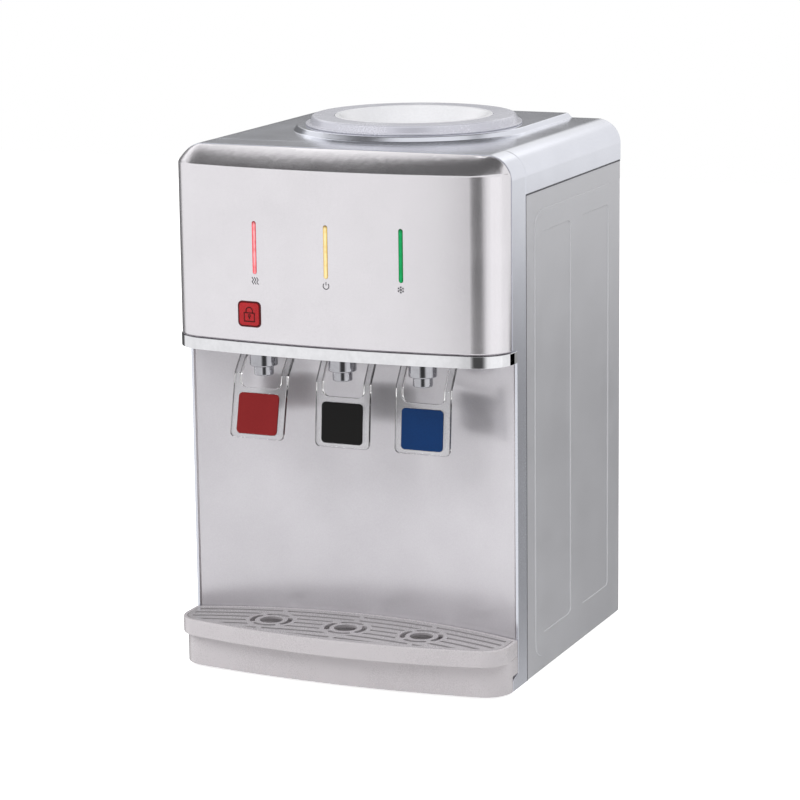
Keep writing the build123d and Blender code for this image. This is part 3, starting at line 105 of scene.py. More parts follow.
# a finish has a fine grain (flake, moulding texture, brushing) and a broad one (mottling, handling)
def makeFinish(look):
    material, tree = newTree(look["name"])
    place = addNode(tree, "ShaderNodeTexCoord").outputs["Object"]
    drawn = addNode(tree, "ShaderNodeMapping", {"Vector": place, "Scale": look.get("stretch", (1, 1, 1))})
    fine = addNode(tree, "ShaderNodeTexNoise", {"Vector": drawn.outputs[0], "Scale": 1 / (look["grainMm"] * mm),
                                                "Detail": 2.0, "Roughness": 0.6})
    broad = addNode(tree, "ShaderNodeTexNoise", {"Vector": place, "Scale": 1 / (look.get("mottleMm", 45) * mm),
                                                 "Detail": 3.0})
    both = addNode(tree, "ShaderNodeMath", {0: fine.outputs["Fac"], 1: broad.outputs["Fac"]}, operation="ADD")
    spread = {"Value": both.outputs[0], "From Min": 0.7, "From Max": 1.3}
    share = addNode(tree, "ShaderNodeMapRange", spread)
    colour = addNode(tree, "ShaderNodeMix", {0: share.outputs[0], 6: toLinear(look["dark"]),
                                             7: toLinear(look["light"])}, data_type="RGBA")
    rough = addNode(tree, "ShaderNodeMapRange", {**spread, "To Min": look["roughness"] * 0.86,
                                                 "To Max": look["roughness"] * 1.14})
    bump = addNode(tree, "ShaderNodeBump", {"Height": fine.outputs["Fac"], "Strength": look["bump"],
                                            "Distance": look.get("bumpMm", 0.05) * mm})
    tint = colour.outputs[2]
    if "edgeShade" in look:  # painted shade: the clear plastic's tint darkens where it is seen edge on, in place of the dark lines that refraction shows at its edges
        edgeShadeMask = addNode(tree, "ShaderNodeLayerWeight", {"Blend": look["edgeShadeBlend"]})
        tint = addNode(tree, "ShaderNodeMix", {0: edgeShadeMask.outputs["Facing"], 6: tint, 7: toLinear(look["edgeShade"])},
                       data_type="RGBA").outputs[2]
    shader = addNode(tree, "ShaderNodeBsdfPrincipled", {"Base Color": tint, "Roughness": rough.outputs[0],
                                                        "Normal": bump.outputs[0], **look.get("shader", {})})
    addNode(tree, "ShaderNodeOutputMaterial", {"Surface": shader.outputs[0]})
    return material


# silver metallic paint on moulded ABS: fine aluminium flake under a satin lacquer
# the flake is 0.03 mm on the real paint, drawn at 1 mm so that it shows
silverPaint = makeFinish({"name": "silver metallic paint on moulded ABS", "dark": "#DCD9DD", "light": "#E4E1E5",
                          "grainMm": 1.0, "roughness": 0.24, "bump": 0.02,
                          "shader": {"Metallic": 0.88, "Coat Weight": 0.15, "Coat Roughness": 0.08}})
# the same paint on the cover and hoop, a shade bluer: painted light, the cool cast of the light from the right
blueCastPaint = makeFinish({"name": "cool silver metallic paint on moulded ABS", "dark": "#D6D8E1", "light": "#DEE0E9",
                        "grainMm": 1.0, "roughness": 0.17, "bump": 0.03,
                        "shader": {"Metallic": 0.85, "Coat Weight": 0.15, "Coat Roughness": 0.1}})
# the paint on the foot and the tray is warmer and flatter, with hardly any flake
footPaint = makeFinish({"name": "warm silver paint on moulded ABS", "dark": "#C2BDC0", "light": "#C7C2C5",
                        "grainMm": 1.0, "roughness": 0.28, "bump": 0.02,
                        "shader": {"IOR": 1.6, "Coat Weight": 0.3, "Coat Roughness": 0.1}})
# the grille's is the same paint made darker: painted shade and painted reflection of the dark panel and tap bay above
# it
shadedGrillePaint = makeFinish({"name": "grey silver paint on moulded ABS", "dark": "#A7A3A6", "light": "#AEAAAD",
                          "grainMm": 1.0, "roughness": 0.28, "bump": 0.02,
                          "shader": {"IOR": 1.6, "Coat Weight": 0.3, "Coat Roughness": 0.1}})
# pearl silver sheet behind the levers: milky, with blurred reflections
pearlSheet = makeFinish({"name": "pearl silver moulded ABS sheet", "dark": "#CFCCD1", "light": "#D8D5DA",
                         "grainMm": 1.2, "roughness": 0.22, "bump": 0.02,
                         "shader": {"Metallic": 0.45, "Coat Weight": 0.4, "Coat Roughness": 0.14}})
# light grey ring that carries the bottle: pale pearl plastic with a soft gloss
ringPaint = makeFinish({"name": "pale pearl moulded ABS ring", "dark": "#C8C8D1", "light": "#D0D0D8",
                        "grainMm": 1.0, "roughness": 0.26, "bump": 0.02,
                        "shader": {"Metallic": 0.25, "Specular IOR Level": 0.3}})
# white food-safe polypropylene, moulded: soft gloss with a faint orange peel
whitePlastic = makeFinish({"name": "white polypropylene, moulded", "dark": "#DADADD", "light": "#E2E2E5",
                           "grainMm": 2.5, "roughness": 0.33, "bump": 0.04, "shader": {"IOR": 1.49}})
# powder-coated steel sheet: satin, with the coat's fine orange peel
coatedSteel = makeFinish({"name": "silver powder-coated steel sheet", "dark": "#BDBDC1", "light": "#C3C3C7",
                          "grainMm": 1.4, "roughness": 0.42, "bump": 0.04,
                          "shader": {"Metallic": 0.45}})
# chrome plating on ABS: mirror bright, with a faint haze from handling
chromePlate = makeFinish({"name": "chrome plating on ABS", "dark": "#DEDEE1", "light": "#E9E9EC",
                          "grainMm": 6.0, "roughness": 0.05, "bump": 0.01, "shader": {"Metallic": 1.0}})
# the spouts' plating is a shade darker, as nickel is
nickelPlate = makeFinish({"name": "bright nickel plating on brass", "dark": "#A6A6AB", "light": "#B4B4B9",
                          "grainMm": 6.0, "roughness": 0.06, "bump": 0.01, "shader": {"Metallic": 1.0}})
# zinc plated steel: cool grey with a fine spangle
zincSteel = makeFinish({"name": "zinc plated sheet steel", "dark": "#9EA1A4", "light": "#B4B7BA",
                        "grainMm": 3.0, "roughness": 0.38, "bump": 0.05, "shader": {"Metallic": 1.0}})
# drawn stainless steel: brushed round the tank
drawnSteel = makeFinish({"name": "drawn stainless steel", "dark": "#A9A9AB", "light": "#BDBDBF",
                         "grainMm": 0.6, "stretch": (1, 1, 0.04), "roughness": 0.30, "bump": 0.05,
                         "shader": {"Metallic": 1.0}})
# extruded aluminium: die lines along the fins
bareAluminium = makeFinish({"name": "extruded aluminium", "dark": "#B9BABC", "light": "#CBCCCE",
                            "grainMm": 0.8, "stretch": (1, 1, 0.05), "roughness": 0.34, "bump": 0.06,
                            "shader": {"Metallic": 1.0}})
# clear acrylic, moulded: see-through, with bright lines at its edges from the rounding and painted shade for the dark
# lines there
clearAcrylic = makeFinish({"name": "clear moulded acrylic", "dark": "#F7F8F8", "light": "#FCFDFD",
                           "grainMm": 8.0, "roughness": 0.03, "bump": 0.01, "edgeShade": "#6A6263", "edgeShadeBlend": 0.5,
                           "shader": {"IOR": 1.49, "Transmission Weight": 1.0}})
# printed plates in the levers: flat ink with a fine tooth
redPlate = makeFinish({"name": "red printed polycarbonate plate", "dark": "#781A1C", "light": "#842223",
                       "grainMm": 0.9, "roughness": 0.5, "bump": 0.05, "shader": {"Specular IOR Level": 0.18}})
blackPlate = makeFinish({"name": "black printed polycarbonate plate", "dark": "#090808", "light": "#0F0E0E",
                         "grainMm": 0.9, "roughness": 0.5, "bump": 0.05, "shader": {"Specular IOR Level": 0.18}})
bluePlate = makeFinish({"name": "blue printed polycarbonate plate", "dark": "#042B58", "light": "#083468",
                        "grainMm": 0.9, "roughness": 0.5, "bump": 0.05, "shader": {"Specular IOR Level": 0.18}})
# translucent red polycarbonate, moulded: deep red with a soft gloss
redButton = makeFinish({"name": "translucent red polycarbonate button", "dark": "#A31A20", "light": "#B02026",
                        "grainMm": 3.0, "roughness": 0.25, "bump": 0.02, "shader": {"Specular IOR Level": 0.3}})
# its surround, the same plastic in a deeper tint
darkRed = makeFinish({"name": "dark red polycarbonate surround", "dark": "#4C0E13", "light": "#5A1218",
                      "grainMm": 2.0, "roughness": 0.35, "bump": 0.03, "shader": {"Specular IOR Level": 0.25}})
# pad printed marks: thin flat ink
redInk = makeFinish({"name": "dark red pad print", "dark": "#4E0B0E", "light": "#5C0F12",
                     "grainMm": 0.7, "roughness": 0.5, "bump": 0.03, "shader": {"Specular IOR Level": 0.2}})
greyInk = makeFinish({"name": "dark grey pad print", "dark": "#3B3B3F", "light": "#454549",
                      "grainMm": 0.7, "roughness": 0.5, "bump": 0.03, "shader": {"Specular IOR Level": 0.2}})
paleInk = makeFinish({"name": "white pad print", "dark": "#D8D8D8", "light": "#E2E2E2",
                      "grainMm": 0.7, "roughness": 0.5, "bump": 0.03, "shader": {"Specular IOR Level": 0.2}})
# black ABS, spark-eroded moulding: fine matt grain
blackPlastic = makeFinish({"name": "black ABS, fine grain moulding", "dark": "#1B1B1C", "light": "#242426",
                           "grainMm": 0.6, "roughness": 0.5, "bump": 0.2, "shader": {"IOR": 1.53}})
# glass fibre board with a green solder mask
solderMask = makeFinish({"name": "green solder mask on glass fibre board", "dark": "#1F5A33", "light": "#2A6B3F",
                         "grainMm": 1.5, "roughness": 0.35, "bump": 0.08, "shader": {"IOR": 1.5}})
# expanded polystyrene jacket: beads about 3 mm across
beadFoam = makeFinish({"name": "expanded polystyrene, moulded", "dark": "#DEDCD4", "light": "#EEECE6",
                       "grainMm": 3.0, "roughness": 0.8, "bump": 0.5, "bumpMm": 0.3, "shader": {"IOR": 1.45}})
# black rubber: dull, with a dusty bloom
blackRubber = makeFinish({"name": "black nitrile rubber, moulded", "dark": "#1C1C1C", "light": "#2A2A2A",
                          "grainMm": 0.8, "roughness": 0.75, "bump": 0.2, "shader": {"IOR": 1.52}})
# grey rubber seal: dull and soft, a real seal whose grey also stands in as painted shade for the shadow line along the
# seams
seamShadeRubber = makeFinish({"name": "grey rubber seal, extruded", "dark": "#56565B", "light": "#626267",
                         "grainMm": 0.8, "roughness": 0.7, "bump": 0.1, "shader": {"Specular IOR Level": 0.25}})
# silicone hose: milky, waxy gloss
milkySilicone = makeFinish({"name": "extruded silicone hose", "dark": "#DADAD6", "light": "#E6E6E2",
                            "grainMm": 2.0, "roughness": 0.45, "bump": 0.05, "shader": {"IOR": 1.41}})


# light bars: tinted acrylic lit from behind by lamps, paler along the middle, with painted shade at the upper tip for
# the shadow of the recess the real bars sit in
def makeLens(look):
    low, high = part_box(look["node"])
    material, tree = newTree(look["name"])
    place = addNode(tree, "ShaderNodeTexCoord").outputs["Object"]
    axes = addNode(tree, "ShaderNodeSeparateXYZ", {"Vector": place})
    aside = addNode(tree, "ShaderNodeMath", {0: axes.outputs["X"], 1: (low[0] + high[0]) / 2}, operation="SUBTRACT")
    off = addNode(tree, "ShaderNodeMath", {0: aside.outputs[0]}, operation="ABSOLUTE")
    glow = addNode(tree, "ShaderNodeMapRange", {"Value": off.outputs[0], "From Min": 0.1 * mm,
                                                "From Max": look["glowMm"] * mm, "To Min": 1.0, "To Max": 0.0})
    cloud = addNode(tree, "ShaderNodeTexNoise", {"Vector": place, "Scale": 1 / (5 * mm), "Detail": 2.0})
    part = addNode(tree, "ShaderNodeMath", {0: cloud.outputs["Fac"], 1: glow.outputs[0]}, operation="MULTIPLY")
    twice = addNode(tree, "ShaderNodeMath", {0: part.outputs[0], 1: 2.0}, operation="MULTIPLY", use_clamp=True)
    tint = addNode(tree, "ShaderNodeMix", {0: twice.outputs[0], 6: toLinear(look["edge"]),
                                           7: toLinear(look["middle"])}, data_type="RGBA").outputs[2]
    # painted shade: the upper tip turns dark, standing in for the recess's shadow on the bar's upper end
    start, end = (high[2] - depth * mm for depth in look["tipShadeMm"])
    tip = addNode(tree, "ShaderNodeMapRange", {"Value": axes.outputs["Z"], "From Min": start, "From Max": end})
    tint = addNode(tree, "ShaderNodeMix", {0: tip.outputs[0], 6: tint, 7: toLinear(look["tip"])},
                   data_type="RGBA").outputs[2]
    lit = {"Base Color": tint, "Roughness": 0.25, "Specular IOR Level": 0.2, "Emission Color": tint,
           "Emission Strength": look["strength"]}
    shader = addNode(tree, "ShaderNodeBsdfPrincipled", lit)
    addNode(tree, "ShaderNodeOutputMaterial", {"Surface": shader.outputs[0]})
    return material


redLens = makeLens({"name": "red acrylic light bar", "node": "hot_light", "edge": "#DC3F48", "middle": "#F5A4AA",
                    "tip": "#8E1F26", "tipShadeMm": (6.5, 3.2), "glowMm": 1.7, "strength": 0.2})
amberLens = makeLens({"name": "pale amber acrylic light bar", "node": "power_light", "edge": "#DDB75F",
                      "middle": "#F2DFA6", "tip": "#8A6A2C", "tipShadeMm": (6.0, 3.4), "glowMm": 1.8,
                      "strength": 0.15})
greenLens = makeLens({"name": "green acrylic light bar", "node": "cold_light", "edge": "#05803F",
                      "middle": "#10A05C", "tip": "#04572B", "tipShadeMm": (6.5, 3.2), "glowMm": 1.7, "strength": 0.1})
print("finishes:", len(bpy.data.materials))

finishOf = {
    silverPaint: ["fascia", "tap_bay_cover"],
    blueCastPaint: ["front_frame", "top_cover"],
    footPaint: ["base_plinth", "drip_tray"],
    shadedGrillePaint: ["drip_grille"],
    pearlSheet: ["lower_front_panel"],
    ringPaint: ["bottle_collar"],
    whitePlastic: ["bottle_funnel", "feed_probe", "drain_spout", "drain_cap", "hot_tap_body", "ambient_tap_body",
                   "cold_tap_body", "hot_plunger", "ambient_plunger", "cold_plunger"],
    chromePlate: ["chrome_trim"],
    nickelPlate: ["hot_spout", "ambient_spout", "cold_spout"],
    coatedSteel: ["right_side_panel", "left_side_panel", "rear_panel"],
    zincSteel: ["base_pan", "tap_bulkhead", "panel_screws", "pivot_pins"],
    drawnSteel: ["cold_tank", "hot_tank"],
    clearAcrylic: ["hot_lever", "ambient_lever", "cold_lever"],
    redPlate: ["hot_lever_pad"],
    blackPlate: ["ambient_lever_pad"],
    bluePlate: ["cold_lever_pad"],
    redLens: ["hot_light"],
    amberLens: ["power_light"],
    greenLens: ["cold_light"],
    redButton: ["child_lock_button"],
    darkRed: ["lock_bezel"],
    blackPlastic: ["fan_frame", "fan_rotor", "switch_housings", "heating_rocker", "cooling_rocker", "cord_gland"],
    solderMask: ["indicator_board", "power_board"],
    beadFoam: ["cold_tank_jacket", "hot_tank_jacket"],
    bareAluminium: ["cold_block", "heat_sink"],
    blackRubber: ["feet", "hot_tap_boot", "ambient_tap_boot", "cold_tap_boot"],
    milkySilicone: ["water_hoses"],
}
for finish, names in finishOf.items():
    for name in names:
        nodes[name].data.materials.clear()
        nodes[name].data.materials.append(finish)
print("CAD nodes finished:", sum(len(names) for names in finishOf.values()), "of", len(nodes))


def closeMesh(solid, name):
    bmesh.ops.remove_doubles(solid, verts=solid.verts, dist=weld)
    bmesh.ops.recalc_face_normals(solid, faces=solid.faces)
    for face in solid.faces:
        face.smooth = True
    mesh = bpy.data.meshes.new(name)
    solid.to_mesh(mesh)
    solid.free()
    return mesh


def keepPiece(name, mesh, finish, body, slot, *replaced):
    mesh.materials.clear()
    mesh.materials.append(finish)
    piece = bpy.data.objects.new(name, mesh)
    scene.collection.objects.link(piece)
    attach(piece, body)
    if replaced:
        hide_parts(*replaced)
    return piece


# moulded and pressed edges: a copy of the node with its sharp edges rounded
edgeLook = {"flatDeg": 0.3, "sharpDeg": 28, "steps": 3, "evenness": 60}


def softenNode(name, edgeMm, sparing=()):
    source = nodes[name]
    spared = [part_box(other) for other in sparing]
    solid = bmesh.new()
    solid.from_mesh(source.data)
    bmesh.ops.remove_doubles(solid, verts=solid.verts, dist=weld)
    bmesh.ops.dissolve_limit(solid, angle_limit=math.radians(edgeLook["flatDeg"]), verts=solid.verts,
                             edges=solid.edges)
    sharp = []
    for edge in solid.edges:
        spot = (edge.verts[0].co + edge.verts[1].co) / 2
        hole = any(low[0] - mm < spot.x < high[0] + mm and low[2] - mm < spot.z < high[2] + mm
                   for low, high in spared)
        if edge.is_manifold and edge.calc_face_angle(0) > math.radians(edgeLook["sharpDeg"]):
            edge.smooth = not hole
            if not hole:
                sharp.append(edge)
    bmesh.ops.bevel(solid, geom=sharp, offset=edgeMm * mm, offset_type="OFFSET", segments=edgeLook["steps"],
                    profile=0.5, affect="EDGES", clamp_overlap=False)
    piece = keepPiece(name + ".soft", closeMesh(solid, name + ".soft"), source.data.materials[0],
                      source["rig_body"], slotOf[name], name)
    shading = piece.modifiers.new("even shading", "WEIGHTED_NORMAL")
    shading.weight = edgeLook["evenness"]
    shading.keep_sharp = True


# edge radius in mm
softEdges = {"fascia": 1.4, "top_cover": 0.8, "bottle_collar": 0.5, "chrome_trim": 0.35, "front_frame": 0.3,
             "drip_tray": 0.9, "drip_grille": 0.3, "base_plinth": 0.4, "hot_lever": 0.7, "ambient_lever": 0.7,
             "cold_lever": 0.7, "hot_lever_pad": 0.3, "ambient_lever_pad": 0.3, "cold_lever_pad": 0.3,
             "hot_spout": 0.35, "ambient_spout": 0.35, "cold_spout": 0.35, "child_lock_button": 0.4,
             "lock_bezel": 0.2, "bottle_funnel": 0.5}
cutFor = {"fascia": ["hot_light", "power_light", "cold_light", "lock_bezel"]}  # these holes stay crisp
for name, edgeMm in softEdges.items():
    softenNode(name, edgeMm, cutFor.get(name, ()))
print("soft edges on:", len(softEdges), "pieces")


# strokes are lists of (right, up) points in mm; they lie on the node's front, or on its back seen from behind
def drawMark(look):
    mesh = nodes[look["on"]].data
    skin = BVHTree.FromPolygons([v.co for v in mesh.vertices], [tuple(p.vertices) for p in mesh.polygons])
    facing = 1 if look.get("back") else -1
    solid = bmesh.new()
    for stroke in look["strokes"]:
        ring = stroke[0] == stroke[-1]
        points = [Vector(point) for point in (stroke[:-1] if ring else stroke)]
        count = len(points)
        rails = []
        for i, point in enumerate(points):
            into = (point - points[i - 1]).normalized() if ring or i else None
            away = (points[(i + 1) % count] - point).normalized() if ring or i + 1 < count else into
            along = ((into or away) + away).normalized()
            aside = Vector((-along.y, along.x)) * look["widthMm"] / 2 / max(along.dot(away), 0.5)
            corners = []
            for edge, lift in ((aside, look["riseMm"]), (-aside, look["riseMm"]), (-aside, -look["sinkMm"]),
                               (aside, -look["sinkMm"])):
                spot = point + edge
                x = look["x"] - facing * spot.x * mm
                z = look["z"] + spot.y * mm
                y = skin.ray_cast((x, facing, z), (0, -facing, 0))[0].y
                corners.append(solid.verts.new((x, y + facing * lift * mm, z)))
            rails.append(corners)
        for i in range(count if ring else count - 1):
            one, two = rails[i], rails[(i + 1) % count]
            for k in range(4):
                solid.faces.new((one[k], one[(k + 1) % 4], two[(k + 1) % 4], two[k]))
        if not ring:
            solid.faces.new(rails[0])
            solid.faces.new(rails[-1][::-1])
    keepPiece(look["name"], closeMesh(solid, look["name"]), look["ink"], look["body"], look["slot"])


def arc(x, y, radius, start, end, steps=20):
    turns = [math.radians(start + (end - start) * i / steps) for i in range(steps + 1)]
    points = [(x + radius * math.sin(turn), y + radius * math.cos(turn)) for turn in turns]
    return points[:-1] + [points[0]] if end - start == 360 else points


# generic signs under the light bars: warmth, standby and cold
waves = [[(u + 0.65 * math.sin(v * 1.7), v) for v in [k * 0.4 - 3.2 for k in range(17)]] for u in (-2.3, 0, 2.3)]
standby = [arc(0, -0.3, 2.7, 40, 320), [(0, 0.4), (0, 3.3)]]
flake = []
for turn in range(0, 360, 60):
    s, c = math.sin(math.radians(turn)), math.cos(math.radians(turn))
    flake.append([(0, 0), (3.2 * s, 3.2 * c)])
    flake.append([(a * c + 2.7 * s, -a * s + 2.7 * c) if a else (1.7 * s, 1.7 * c) for a in (-0.9, 0, 0.9)])
signLook = {"on": "fascia", "body": "cabinet", "slot": "black_abs", "ink": greyInk, "dropMm": 2.8, "riseMm": 0.06,
            "sinkMm": 0.15}
signs = {"hot_light": (waves, 0.75), "power_light": (standby, 0.75), "cold_light": (flake, 0.5)}
for light, (strokes, widthMm) in signs.items():
    low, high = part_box(light)
    drawMark({**signLook, "widthMm": widthMm, "name": light + ".sign", "strokes": strokes,
              "x": (low[0] + high[0]) / 2, "z": low[2] - signLook["dropMm"] * mm})

# padlock on the lock button
low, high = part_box("child_lock_button")
padlock = [[(-5.0, -6.2), (5.0, -6.2), (5.0, 1.2), (-5.0, 1.2), (-5.0, -6.2)],
           [(-3.2, 1.2), (-3.2, 2.8)] + arc(0, 2.8, 3.2, -90, 90)[1:] + [(3.2, 1.2)],
           arc(0, -1.4, 1.0, 0, 360, 12), [(0, -2.3), (0, -4.3)]]
drawMark({"name": "child_lock_button.sign", "on": "child_lock_button", "body": "lock_button", "slot": "black_abs",
          "ink": redInk, "strokes": padlock, "widthMm": 1.1, "riseMm": 0.05, "sinkMm": 0.15,
          "x": (low[0] + high[0]) / 2, "z": (low[2] + high[2]) / 2})

# bar and ring on each rocker
for name in ("heating_rocker", "cooling_rocker"):
    low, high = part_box(name)
    drawMark({"name": name + ".sign", "on": name, "body": name, "slot": "white_abs", "ink": paleInk, "back": True,
              "strokes": [[(0, 3.2), (0, 5.8)], arc(0, -4.5, 1.3, 0, 360)], "widthMm": 0.55, "riseMm": 0.05,
              "sinkMm": 0.15, "x": (low[0] + high[0]) / 2, "z": (low[2] + high[2]) / 2})
print("signs: 3 under the lights, 1 on the lock, 2 on the rockers")


# rubber bellows on the taps, with round folds where the solids have sharp ones
bootLook = {"folds": 3, "deepMm": 1.2, "wallMm": 1.1, "around": 48, "rows": 36}
for tap in ("hot", "ambient", "cold"):
    name = tap + "_tap_boot"
    low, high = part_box(name)
    x, y = (low[0] + high[0]) / 2, (low[1] + high[1]) / 2
    tall, wide = high[2] - low[2], (high[0] - low[0]) / 2
    outer = []
    for row in range(bootLook["rows"] + 1):
        fold = (1 + math.cos(2 * math.pi * bootLook["folds"] * row / bootLook["rows"])) / 2
        outer.append((wide - bootLook["deepMm"] * mm * fold, low[2] + tall * row / bootLook["rows"]))
    loop = outer + [(radius - bootLook["wallMm"] * mm, z) for radius, z in reversed(outer)]
    solid = bmesh.new()
    rings = []
    for step in range(bootLook["around"]):
        turn = 2 * math.pi * step / bootLook["around"]
        rings.append([solid.verts.new((x + r * math.cos(turn), y + r * math.sin(turn), z)) for r, z in loop])
    for step, ring in enumerate(rings):
        after = rings[(step + 1) % len(rings)]
        for k in range(len(loop)):
            n = (k + 1) % len(loop)
            solid.faces.new((ring[k], after[k], after[n], ring[n]))
    boot = keepPiece(name + ".bellows", closeMesh(solid, name + ".bellows"), blackRubber, nodes[name]["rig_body"],
                     slotOf[name], name)
    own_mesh(boot)
print("bellows: 3")


# cross-head screws in the rear panel
screwLook = {"Head radius": 3.4 * mm, "Head height": 2.0 * mm, "Shank radius": 1.6 * mm, "Shank length": 6.0 * mm,
             "Slot width": 0.9 * mm, "Seed": 4}
tree = bpy.data.node_groups.new("cross-head screws", "GeometryNodeTree")
tree.interface.new_socket("Seats", in_out="INPUT", socket_type="NodeSocketGeometry")
for name in screwLook:
    tree.interface.new_socket(name, in_out="INPUT",
                              socket_type="NodeSocketInt" if name == "Seed" else "NodeSocketFloat")
tree.interface.new_socket("Screws", in_out="OUTPUT", socket_type="NodeSocketGeometry")
given = addNode(tree, "NodeGroupInput").outputs
crown = addNode(tree, "ShaderNodeMath", {0: given["Head radius"], 1: 0.62}, operation="MULTIPLY")
head = addNode(tree, "GeometryNodeMeshCone", {"Vertices": 32, "Radius Top": crown.outputs[0],
                                              "Radius Bottom": given["Head radius"], "Depth": given["Head height"]})
bar = addNode(tree, "ShaderNodeCombineXYZ", {0: given["Head radius"], 1: given["Slot width"],
                                             2: given["Head height"]})
cutter = addNode(tree, "GeometryNodeMeshCube", {"Size": bar.outputs[0]})
above = addNode(tree, "ShaderNodeCombineXYZ", {2: given["Head height"]})
across = [addNode(tree, "GeometryNodeTransform", {"Geometry": cutter.outputs[0], "Translation": above.outputs[0],
                                                  "Rotation": (0, 0, turn)}).outputs[0] for turn in (0, math.pi / 2)]
slotted = addNode(tree, "GeometryNodeMeshBoolean", {"Mesh 1": head.outputs[0], "Mesh 2": across},
                  operation="DIFFERENCE")
shank = addNode(tree, "GeometryNodeMeshCylinder", {"Vertices": 20, "Radius": given["Shank radius"],
                                                   "Depth": given["Shank length"]})
below = addNode(tree, "ShaderNodeMath", {0: given["Shank length"], 1: -0.5}, operation="MULTIPLY")
under = addNode(tree, "ShaderNodeCombineXYZ", {2: below.outputs[0]})
driven = addNode(tree, "GeometryNodeTransform", {"Geometry": shank.outputs[0], "Translation": under.outputs[0]})
whole = addNode(tree, "GeometryNodeJoinGeometry", {0: [slotted.outputs[0], driven.outputs[0]]})
outward = addNode(tree, "GeometryNodeTransform", {"Geometry": whole.outputs[0], "Rotation": (-math.pi / 2, 0, 0)})
twist = addNode(tree, "FunctionNodeRandomValue", {0: (0, 0, 0), 1: (0, 2 * math.pi, 0), "Seed": given["Seed"]},
                data_type="FLOAT_VECTOR")
turned = addNode(tree, "FunctionNodeEulerToRotation", {0: twist.outputs[0]})
placed = addNode(tree, "GeometryNodeInstanceOnPoints", {"Points": given["Seats"], "Instance": outward.outputs[0],
                                                        "Rotation": turned.outputs[0]})
real = addNode(tree, "GeometryNodeRealizeInstances", {0: placed.outputs[0]})
plated = addNode(tree, "GeometryNodeSetMaterial", {"Geometry": real.outputs[0], "Material": zincSteel})
addNode(tree, "NodeGroupOutput", {0: plated.outputs[0]})

# one seat for each screw of the node, under its head
solid = bmesh.new()
solid.from_mesh(nodes["panel_screws"].data)
bmesh.ops.remove_doubles(solid, verts=solid.verts, dist=weld)
left = set(solid.verts)
seats = []
while left:
    group = [left.pop()]
    for vert in group:
        for edge in vert.link_edges:
            other = edge.other_vert(vert)
            if other in left:
                left.remove(other)
                group.append(other)
    spans = [[v.co[k] for v in group] for k in range(3)]
    seats.append(((min(spans[0]) + max(spans[0])) / 2, max(spans[1]) - screwLook["Head height"],
                  (min(spans[2]) + max(spans[2])) / 2))
solid.free()
seatMesh = bpy.data.meshes.new("screw seats")
seatMesh.from_pydata(sorted(seats), [], [])
holder = bpy.data.objects.new("screw seats", seatMesh)
scene.collection.objects.link(holder)
maker = holder.modifiers.new("screws", "NODES")
maker.node_group = tree
for item in tree.interface.items_tree:
    if item.in_out == "INPUT" and item.name in screwLook:
        maker[item.identifier] = screwLook[item.name]
screwMesh = bpy.data.meshes.new_from_object(holder.evaluated_get(bpy.context.evaluated_depsgraph_get()))
holder.modifiers.remove(maker)
bpy.data.objects.remove(holder)
keepPiece("panel_screws.cross", screwMesh, zincSteel, nodes["panel_screws"]["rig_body"], slotOf["panel_screws"],
          "panel_screws")
print("screws:", len(seats), "with", len(screwMesh.polygons), "faces")


# runs a closed outline, given as (x, y) or other two axes, between two heights along the third
def sweepOutline(solid, outline, along, low, high):
    ends = []
    for level in (low, high):
        spots = [Vector(spot) for spot in outline]
        ends.append([solid.verts.new((s.x, s.y, level) if along == "Z" else (s.x, level, s.y)) for s in spots])
    count = len(outline)
    for k in range(count):
        solid.faces.new((ends[0][k], ends[0][(k + 1) % count], ends[1][(k + 1) % count], ends[1][k]))
    solid.faces.new(ends[0])
    solid.faces.new(ends[1])


# rubber seals where the side sheets meet the hoop and the cover, dark as painted shade for the shadow line in those
# seams, and grey beads beside the front panel
sealLook = {"wideMm": 1.8, "tallMm": 1.0, "sinkMm": 0.1, "rootMm": 0.8, "roundMm": 0.25, "gapMm": 0.05,
            "topGapMm": 0.02}
beadLook = {"legMm": 1.15, "steps": 5, "lowMm": 47.0, "highMm": 290.2, "asideMm": 0.25, "behindMm": 0.2}
for side, panel in ((1, "right_side_panel"), (-1, "left_side_panel")):
    low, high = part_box(panel)
    face = max(abs(low[0]), abs(high[0]))
    inner, outer = (side * (face - sealLook[key] * mm) for key in ("rootMm", "sinkMm"))
    r = sealLook["roundMm"] * mm
    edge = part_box("front_frame")[1][1] + sealLook["gapMm"] * mm
    back = edge + sealLook["wideMm"] * mm
    top = high[2] - sealLook["topGapMm"] * mm
    foot = top - sealLook["tallMm"] * mm
    solid = bmesh.new()
    sweepOutline(solid, [(inner, edge), (outer - side * r, edge), (outer, edge + r), (outer, back - r),
                         (outer - side * r, back), (inner, back)], "Z", low[2], top)
    sweepOutline(solid, [(inner, foot), (outer - side * r, foot), (outer, foot + r), (outer, top - r),
                         (outer - side * r, top), (inner, top)], "Y", back, high[1])
    keepPiece(panel + ".seal", closeMesh(solid, panel + ".seal"), seamShadeRubber, "cabinet", "rubber")
    low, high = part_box("lower_front_panel")
    corner = Vector((side * (high[0] + beadLook["asideMm"] * mm), low[1] + beadLook["behindMm"] * mm))
    leg = beadLook["legMm"] * mm
    cove = []
    for step in range(beadLook["steps"] + 1):
        turn = math.pi / 2 * step / beadLook["steps"]
        cove.append((corner.x - side * leg * (1 - math.cos(turn)), corner.y - leg * (1 - math.sin(turn))))
    solid = bmesh.new()
    sweepOutline(solid, [tuple(corner)] + cove, "Z", beadLook["lowMm"] * mm, beadLook["highMm"] * mm)
    name = "lower_front_panel.bead" + ("Right" if side > 0 else "Left")
    keepPiece(name, closeMesh(solid, name), footPaint, "cabinet", "pearl_abs")
print("seals: 2, beads: 2")

